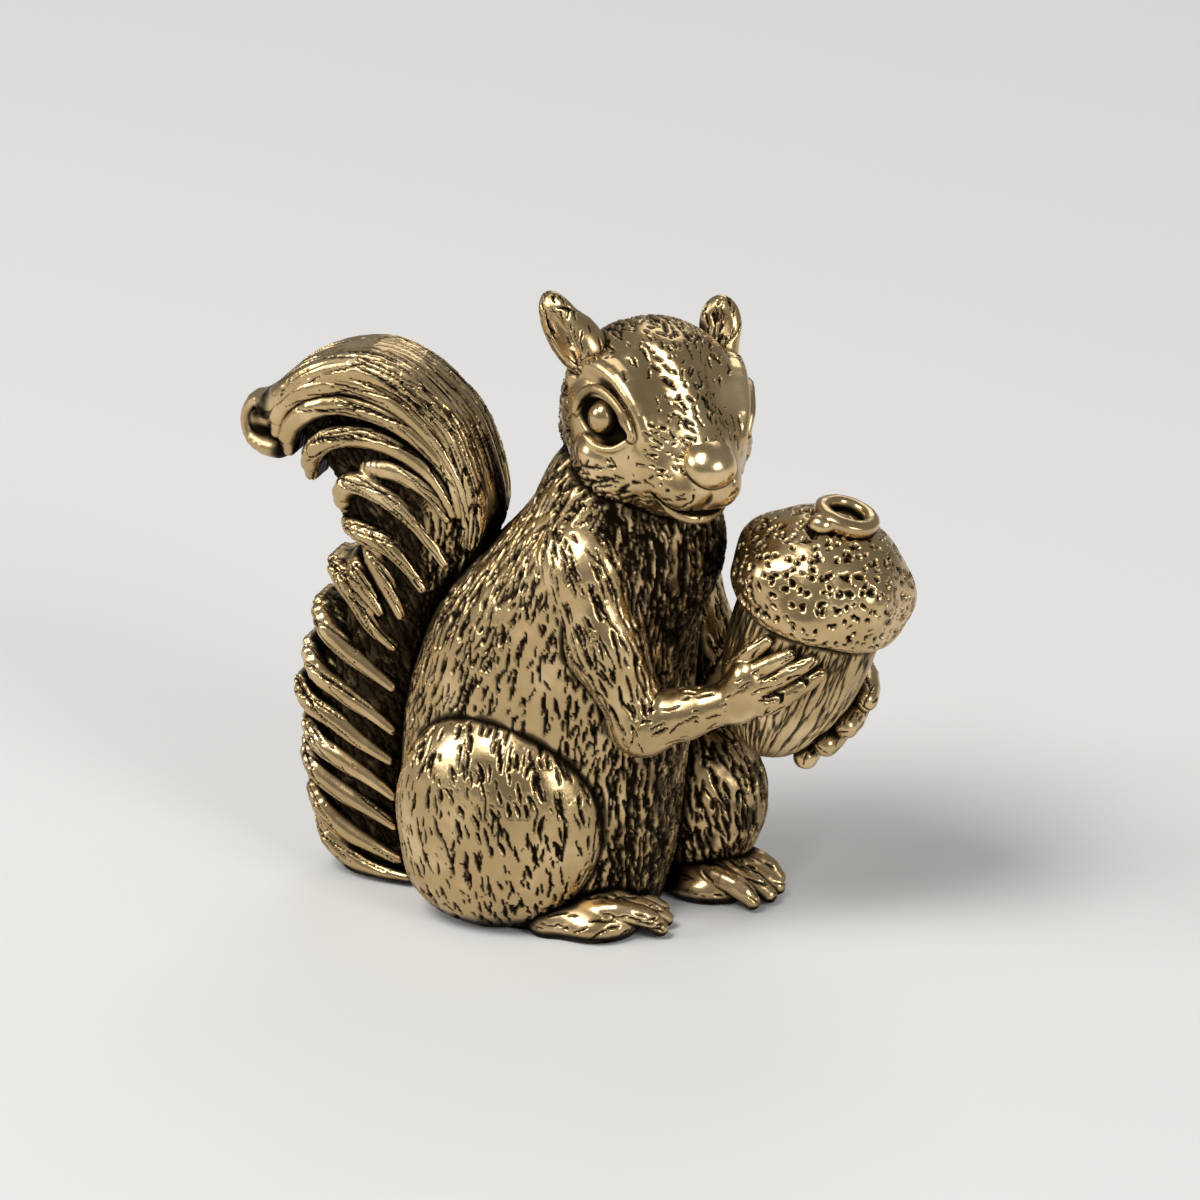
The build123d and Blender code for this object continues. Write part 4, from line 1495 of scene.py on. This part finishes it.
def make_arm(name, side):
    """One upper arm, and the forearm that is tucked under it at the elbow."""
    line = arm_lines(side)
    shoulder, elbow, palm = line
    arm, seam = arm_field(side), elbow_plane(side)

    def flow(p):
        return nearest_run(p, line)

    def upper(p):
        return np.maximum(arm(p), -seam(p))

    def fore(p):
        return np.maximum(arm(p) + 0.10 * ramp(seam(p), -0.05, 0.05), seam(p) - 0.5)

    form = Form(upper, np.minimum(shoulder, elbow) - 3.2, np.maximum(shoulder, elbow) + 3.2, grain() * 1.15)
    hammer(form, "upper arm")
    strokes(form, flow, "upper arm", None, side)
    form.crease_patina_and_shade(below_shoulder(torso_field), reach=0.30)
    put(form, name + "_upper_arm_cast", "fur", name + "_upper_arm")
    form = Form(fore, np.minimum(elbow, palm) - 2.4, np.maximum(elbow, palm) + 2.4, grain())
    hammer(form, "forearm")
    strokes(form, flow, "forearm", None, side)
    put(form, name + "_forearm_cast", "fur", name + "_forearm")


class MakeArms(bpy.types.Operator):
    """Sculpt the upper arms and forearms, which meet at the elbows"""

    bl_idname = "squirrel.arms"
    bl_label = "Arms"

    def execute(self, context):
        for name, side in SIDES:
            make_arm(name, side)
        return {"FINISHED"}


def make_paw(name, side):
    """One paw with dark gaps between its fingers."""
    ends = [on_nut(*tip, 0.4) for _, _, tip in FINGERS[side]] + [on_nut(*PALMS[side], 0.9)]
    form = Form(paw_field(side), np.min(ends, axis=0) - 2.6, np.max(ends, axis=0) + 2.6, PAW_GRAIN)
    hammer(form, "paw")
    run = [on_nut(*at, over) for at, over in zip(FINGERS[side][1], (0.6, 0.5, 0.4))]
    strokes(form, lambda p: nearest_run(p, run), "paw", None, side, deep=1.0)
    form.patina_and_shade(between_fingers(form.points, side))
    put(form, name + "_paw_cast", "smooth", name + "_paw")


class MakePaws(bpy.types.Operator):
    """Sculpt the paws with four fingers that grip the nut"""

    bl_idname = "squirrel.paws"
    bl_label = "Paws"

    def execute(self, context):
        for name, side in SIDES:
            make_paw(name, side)
        return {"FINISHED"}


def make_haunch(name, side):
    """One haunch; the far one is darkened with uneven patches of painted shade."""
    middle, reach = (np.array(each) for each in THIGHS[side])
    low, high = middle - reach - 0.6, middle + reach + 0.6
    low[2] = -0.5
    form = Form(thigh_field(side), low, high + (1.6, 0, 0), grain() * 1.1)
    hammer(form, "haunch", side)

    def seen(p):
        return ramp(torso_field(p), 0, 0.25)

    strokes(form, thigh_flow, "haunch", seen, side)
    if side > 0:
        strokes(form, thigh_flow, "far haunch", seen)
        # Painted shade in uneven patches over the far haunch
        form.patina_and_shade(form.shade_patches(22))
    form.crease_patina_and_shade(torso_field, foot_field(side), reach=0.30)
    put(form, name + "_haunch", "fur", name + "_thigh")


class MakeHaunches(bpy.types.Operator):
    """Sculpt the two rounded haunches"""

    bl_idname = "squirrel.haunches"
    bl_label = "Haunches"

    def execute(self, context):
        for name, side in SIDES:
            make_haunch(name, side)
        return {"FINISHED"}


def make_foot(name, side):
    """One foot with dark gaps between its toes."""
    place = FEET[side]
    corners = place.outward([(-1.2, -3, 0), (-1.2, 3, 0), (10.8, -3, 0), (10.8, 3, 0)])
    form = Form(foot_field(side), corners.min(0) - (0, 0, 0.5), corners.max(0) + (0, 0, 3.9), FOOT_GRAIN)
    hammer(form, "foot")
    strokes(form, lambda p: np.zeros((len(p), 3)) + place.turn[:, 0], "foot", None, side)
    form.crease_patina_and_shade(thigh_field(side), torso_field, reach=0.35)
    form.patina_and_shade(between_toes(form.points, side))
    put(form, name + "_foot_cast", "fur", name + "_foot")


class MakeFeet(bpy.types.Operator):
    """Sculpt the hind feet with their four long toes"""

    bl_idname = "squirrel.feet"
    bl_label = "Feet"

    def execute(self, context):
        for name, side in SIDES:
            make_foot(name, side)
        return {"FINISHED"}


# Rib, web, count of points along it and the root's share, for three kinds of lock
FIRST_CURL, OTHER_CURL, EDGE_LOCK = (1.06, 1.0, 28, 0.62), (0.72, 1.25, 18, 0.45), (0.70, 1.5, 14, 0.42)
LOCK_THICK = 2.75
TIP_BOX = ((-22.0, -3.2, 25.0), (-4.6, 3.2, 34.0))


def make_lock(name, node, lines, shape, thick, seed, rolled=False):
    """One lock of the tail with combed grooves along it and patina in the valleys beside its ribs."""
    rib, web, count, root = shape
    body = lock_field(lines, rib, web, thick, count, root)
    ribs = lock_field(lines, rib, None, thick, count, root)
    low, high = line_box(lines, 2.2)
    low[2] = max(low[2], -0.4)
    field = body
    if rolled:
        low, high = np.minimum(low, TIP_BOX[0]), np.maximum(high, TIP_BOX[1])

        def field(p):
            return join(body(p), curl_tip_field(p), 0.35) + COMB_DEPTH * comb_lines(p)

    form = Form(field, low, high, grain())
    hammer(form, "lock", seed)
    p = form.points
    beside = ramp(ribs(p), 0.02, 0.22)
    if rolled:
        past_tip = ramp(p[:, 0], -19.6, -18.8)
        beside = np.maximum(beside * past_tip, ramp(curl_ring(p), 0, 0.15) * (1 - past_tip))
        beside = np.maximum(beside, comb_lines(p))

    def off_tip(p):
        return ramp(p[:, 0], -18.4, -17.8)

    strokes(form, lock_flow(lines), "combed lock", off_tip, seed, wander=0.05)
    strokes(form, lock_flow(lines), "nicked lock", off_tip, seed)
    form.patina_and_shade(beside * (1.0 - 0.30 * np.clip(rough(p, 2.6, seed) - 0.15, 0, 1)))
    put(form, name, "tail", node)


class MakeTailCurl(bpy.types.Operator):
    """Sculpt the stem of the tail and the combed locks that curl over its top"""

    bl_idname = "squirrel.tail_curl"
    bl_label = "Tail stem and curl"

    def execute(self, context):
        form = Form(stem_field, (-18.0, -3.2, -0.5), (-4.0, 3.2, 31.5), grain() * 1.2)
        hammer(form, "stem")
        outer_run = lock_flow(CURLS[1])

        def outside(p):
            """1 on the outer edge of the curl, where the metal is polished again."""
            bend = ramp(p[:, 0], -9.5, -8.5) * ramp(p[:, 2], 19.0, 20.5)
            return np.maximum(bend, ramp(p[:, 2], 29.5, 30.3))

        def flow(p):
            return np.where(outside(p)[:, None] > 0.5, outer_run(p), (0.5, 0, -0.85))

        strokes(form, flow, "stem", lambda p: 0.8 - 0.7 * outside(p))
        strokes(form, flow, "stem edge", outside)
        dark = np.clip(0.93 - 0.5 * np.clip(rough(form.points, 2.2, 3) - 0.25, 0, 1), 0, 1)
        form.patina_and_shade(dark * (1 - outside(form.points)))
        put(form, "tail_core", "tail", "tail_stem")
        for i, lines in CURLS.items():
            shape, thick = FIRST_CURL if i == 1 else OTHER_CURL, LOCK_THICK - 0.06 * i
            make_lock(f"curl_lock_{i}", f"tail_curl_{i}", lines, shape, thick, 110 + 2 * i, rolled=i == 1)
        return {"FINISHED"}


class MakeTailLocks(bpy.types.Operator):
    """Sculpt the eight locks down the outer edge of the tail"""

    bl_idname = "squirrel.tail_locks"
    bl_label = "Tail locks"

    def execute(self, context):
        for i, lines in LOCKS.items():
            make_lock(f"edge_lock_{i}", f"tail_lock_{i}", lines, EDGE_LOCK, LOCK_THICK, 130 + 2 * i)
        return {"FINISHED"}


# The nut: share of its length and of its radius, then the inputs of its tree
NUT_OUTLINE = [(0.0, 0.0), (0.03, 0.17), (0.12, 0.50), (0.25, 0.72), (0.42, 0.91), (0.70, 1.0)]
NUT_OUTLINE += [(0.86, 0.98), (0.97, 0.80), (1.0, 0.0)]
NUT_INPUTS = (
    ("Length", "Float", NUT_LENGTH * MM),
    ("Radius", "Float", NUT_RADIUS * MM),
    ("Groove depth", "Float", 0.16 * MM),
    ("Round", "Int", 300),
    ("Rows", "Int", 130),
    ("Seed", "Int", 3),
    ("Material", "Material", None),
)
GROOVES_ROUND, GROOVES_ALONG, GROOVE_SHARPNESS = 7.5, 2.6, 13.0


def nut_tree():
    """Geometry Nodes that roll a flat grid into the nut along its outline, grooved lengthwise."""
    tree = bpy.data.node_groups.new("acorn nut", "GeometryNodeTree")
    tree.interface.new_socket("Geometry", in_out="OUTPUT", socket_type="NodeSocketGeometry")
    for label, kind, value in NUT_INPUTS:
        socket = tree.interface.new_socket(label, in_out="INPUT", socket_type="NodeSocket" + kind)
        if value is not None:
            socket.default_value = value
    w = Wires(tree)
    given = w.node("NodeGroupInput").outputs
    counts = {"Vertices X": given["Round"], "Vertices Y": given["Rows"]}
    grid = w.node("GeometryNodeMeshGrid", {"Size X": 1.0, "Size Y": 1.0, **counts})
    split = w.node("ShaderNodeSeparateXYZ", {0: w.node("GeometryNodeInputPosition").outputs[0]}).outputs
    turn = w.calc("MULTIPLY", w.calc("ADD", split[0], 0.5), 2 * math.pi)
    along = w.calc("ADD", split[1], 0.5)
    outline = w.node("ShaderNodeFloatCurve", {"Value": along})
    curve = outline.mapping.curves[0]
    while len(curve.points) < len(NUT_OUTLINE):
        curve.points.new(0.5, 0.5)
    for point, row in zip(curve.points, NUT_OUTLINE):
        point.location = row
    outline.mapping.update()
    cos, sin = w.calc("COSINE", turn), w.calc("SINE", turn)
    combed = w.node(
        "ShaderNodeCombineXYZ",
        {
            0: w.calc("MULTIPLY", cos, GROOVES_ROUND),
            1: w.calc("MULTIPLY", sin, GROOVES_ROUND),
            2: w.calc("ADD", w.calc("MULTIPLY", along, GROOVES_ALONG), given["Seed"]),
        },
    )
    ridge = w.calc("ABSOLUTE", w.calc("SUBTRACT", w.noise(combed.outputs[0], 1.0, 3.0, 0.6), 0.5))
    groove = w.calc("SUBTRACT", 1.0, w.calc("MULTIPLY", ridge, GROOVE_SHARPNESS, clamp=True))
    groove = w.calc("MULTIPLY", groove, w.calc("MULTIPLY", along, 6.0, clamp=True))
    radius = w.calc("MULTIPLY", outline.outputs[0], given["Radius"])
    radius = w.calc("SUBTRACT", radius, w.calc("MULTIPLY", groove, given["Groove depth"]))
    radius = w.calc("MAXIMUM", radius, 0.0)
    shaped = w.node(
        "ShaderNodeCombineXYZ",
        {
            0: w.calc("MULTIPLY", cos, radius),
            1: w.calc("MULTIPLY", sin, radius),
            2: w.calc("MULTIPLY", along, given["Length"]),
        },
    )
    mesh = w.node(
        "GeometryNodeStoreNamedAttribute",
        {"Name": "carved", "Geometry": grid.outputs["Mesh"], "Value": groove},
        data_type="FLOAT",
        domain="POINT",
    ).outputs[0]
    for kind, more in (
        ("SetPosition", {"Position": shaped.outputs[0]}),
        ("MergeByDistance", {"Distance": 0.002 * MM}),
        ("SetShadeSmooth", {}),
        ("RealizeInstances", {}),
        ("SetMaterial", {"Material": given["Material"]}),
    ):
        mesh = w.node("GeometryNode" + kind, {0: mesh, **more}).outputs[0]
    w.node("NodeGroupOutput", {0: mesh})
    return tree


def read_points(mesh, key):
    """A direction or a place of each point of a mesh."""
    out = np.empty(len(mesh.vertices) * 3, np.float32)
    mesh.vertices.foreach_get(key, out)
    return out.reshape(-1, 3)


def make_nut():
    """The nut from its node tree, with a painted shadow under the cap."""
    tree = nut_tree()
    nut = bpy.data.objects.new("nut_grooved", bpy.data.meshes.new("nut_grooved"))
    bpy.context.scene.collection.objects.link(nut)
    modifier = nut.modifiers.new("nut", "NODES")
    modifier.node_group = tree
    values = {"Groove depth": sizes().rib_depth, "Seed": sizes().rib_seed, "Material": brass("acorn")}
    for item in tree.interface.items_tree:
        if item.in_out == "INPUT" and item.name in values:
            modifier[item.identifier] = values[item.name]
    mesh = bpy.data.meshes.new_from_object(nut.evaluated_get(bpy.context.evaluated_depsgraph_get()))
    nut.modifiers.clear()
    nut.data = mesh
    turn = Matrix([[*row, 0] for row in ACORN.turn] + [[0, 0, 0, 1]])
    mesh.transform(Matrix.Translation(Vector(ACORN.origin * MM)) @ turn)
    points, normals = read_points(mesh, "co") / MM, read_points(mesh, "normal")
    if ((points - ACORN.outward((0, 0, 6.5))) * normals).sum() < 0:
        mesh.flip_normals()
        normals = -normals
    # Painted shadow under the cap's rim, added to the painted shade from the grid
    cap_shadow = np.clip(1.3 - np.maximum(cap_field(points), 0) / 0.55, 0, 1)
    shut = np.maximum(Shade.closed(points, normals), cap_shadow)
    write_values(mesh, shut=shut, worn=np.full(len(points), 0.5))
    mesh.update()
    settle(nut, "acorn_nut")


def make_cap():
    """The cap with its pits."""
    form = Form(cap_field, *reach_of("acorn_cap", 0.9), grain())
    hammer(form, "cap")

    def round_axis(p):
        q = ACORN.inward(p)
        return np.stack([-q[:, 1], q[:, 0], 0.4 * np.ones(len(q))], -1) @ ACORN.turn.T

    def above_rim(p):
        return ramp(ACORN.inward(p)[:, 2], 10.3, 10.6)

    strokes(form, round_axis, "cap pits", above_rim, deep=1.0, wander=0.16, blunt=0.3, burr=0.0)
    strokes(form, round_axis, "cap specks", above_rim, deep=1.0, blunt=0.4, burr=0.0)
    form.crease_patina_and_shade(stalk_field, nut_field, reach=0.22)
    put(form, "cap_pitted", "acorn", "acorn_cap")


def make_stalk():
    """The short hollow stalk with its rim."""
    middle = ACORN.outward((0, 0, 16.6))
    form = Form(stalk_field, *around(middle, 3.0), STALK_GRAIN)
    hammer(form, "stalk")
    q = ACORN.inward(form.points)
    # Painted shade down inside the bore, below its rim
    form.patina_and_shade(ramp(np.hypot(q[:, 0], q[:, 1]), 1.12, 1.0) * ramp(q[:, 2], 16.95, 16.65))
    form.crease_patina_and_shade(cap_field, reach=0.15)
    put(form, "stalk_hollow", "stalk", "acorn_stalk")


class MakeAcorn(bpy.types.Operator):
    """Grow the grooved nut from its outline, and sculpt the pitted cap and the hollow stalk"""

    bl_idname = "squirrel.acorn"
    bl_label = "Acorn"

    def execute(self, context):
        make_nut()
        make_cap()
        make_stalk()
        return {"FINISHED"}


# Stage: lamps by name, place and side in metres and power in watts
LAMPS = (
    ("key", (-0.20, -0.41, 0.68), 0.31, 3.90),
    ("left", (-0.61, -0.34, 0.34), 0.27, 1.90),
    ("side", (0.61, -0.34, 0.34), 0.25, 1.90),
    ("back", (-0.08, 0.61, 0.58), 0.42, 1.05),
)
ROOM_COLOUR, ROOM_LIGHT = (0.80, 0.81, 0.82, 1), 0.33
FLOOR_HALF, FLOOR_LEVEL = 3.0, -0.00002
AZIMUTH, ELEVATION, DISTANCE, LENS = math.radians(20), math.radians(22), 0.38, 193.8


def aim(thing, name, place, towards):
    """A lamp or camera at its place, looking at a point."""
    thing = bpy.data.objects.new(name, thing)
    thing.location = place
    thing.rotation_mode = "QUATERNION"
    thing.rotation_quaternion = (towards - thing.location).to_track_quat("-Z", "Y")
    bpy.context.scene.collection.objects.link(thing)
    return thing


class MakeStage(bpy.types.Operator):
    """Lay the pale floor, hang the soft lamps and place the camera"""

    bl_idname = "squirrel.stage"
    bl_label = "Stage"

    def execute(self, context):
        scene = context.scene
        mesh = bpy.data.meshes.new("floor")
        corners = ((-1, -1), (1, -1), (1, 1), (-1, 1))
        corners = [(x * FLOOR_HALF, y * FLOOR_HALF, FLOOR_LEVEL) for x, y in corners]
        mesh.from_pydata(corners, [], [(0, 1, 2, 3)])
        floor = bpy.data.objects.new("floor", mesh)
        scene.collection.objects.link(floor)
        material = bpy.data.materials.new("pale floor")
        material.use_nodes = True
        shader = material.node_tree.nodes["Principled BSDF"]
        shader.inputs["Base Color"].default_value = (*scene.squirrel_finish.floor, 1)
        shader.inputs["Roughness"].default_value = 0.9
        shader.inputs["Specular IOR Level"].default_value = 0.1
        mesh.materials.append(material)

        world = bpy.data.worlds.new("soft room")
        scene.world = world
        world.use_nodes = True
        room = world.node_tree.nodes["Background"].inputs
        room["Color"].default_value = ROOM_COLOUR
        room["Strength"].default_value = ROOM_LIGHT
        target = Vector((1.06 * MM, 0, 19.25 * MM))
        for name, place, width, power in LAMPS:
            light = bpy.data.lights.new(name, "AREA")
            light.shape, light.size, light.energy = "SQUARE", width, power
            aim(light, name, place, target)

        lens = bpy.data.cameras.new("camera")
        lens.sensor_width, lens.lens = 36.0, LENS
        lens.clip_start, lens.clip_end = 0.01, 20
        flat = math.cos(ELEVATION)
        back = Vector((math.sin(AZIMUTH) * flat, -math.cos(AZIMUTH) * flat, math.sin(ELEVATION)))
        scene.camera = aim(lens, "camera", target + back * DISTANCE, target)
        scene.view_settings.view_transform = "Standard"
        return {"FINISHED"}


MAKERS = (MakeStage, MakeTorso, MakeHead, MakeFace, MakeEars, MakeArms, MakePaws)
MAKERS += (MakeHaunches, MakeFeet, MakeTailCurl, MakeTailLocks, MakeAcorn)


class SquirrelPanel(bpy.types.Panel):
    """The sizes, the finish and one button for each group of pieces"""

    bl_idname = "VIEW3D_PT_squirrel"
    bl_label = "Brass squirrel"
    bl_space_type = "VIEW_3D"
    bl_region_type = "UI"
    bl_category = "Squirrel"

    def draw(self, context):
        for group in (context.scene.squirrel_sizes, context.scene.squirrel_finish):
            for key in group.__annotations__:
                self.layout.prop(group, key)
        for maker in MAKERS:
            self.layout.operator(maker.bl_idname)


CLASSES = (SquirrelSizes, SquirrelFinish, *MAKERS, SquirrelPanel)


def register():
    for each in CLASSES:
        bpy.utils.register_class(each)
    bpy.types.Scene.squirrel_sizes = PointerProperty(type=SquirrelSizes)
    bpy.types.Scene.squirrel_finish = PointerProperty(type=SquirrelFinish)


def unregister():
    del bpy.types.Scene.squirrel_finish
    del bpy.types.Scene.squirrel_sizes
    for each in reversed(CLASSES):
        bpy.utils.unregister_class(each)


def main():
    register()
    for maker in MAKERS:
        group, name = maker.bl_idname.split(".")
        getattr(getattr(bpy.ops, group), name)()


if __name__ == "__main__":
    main()
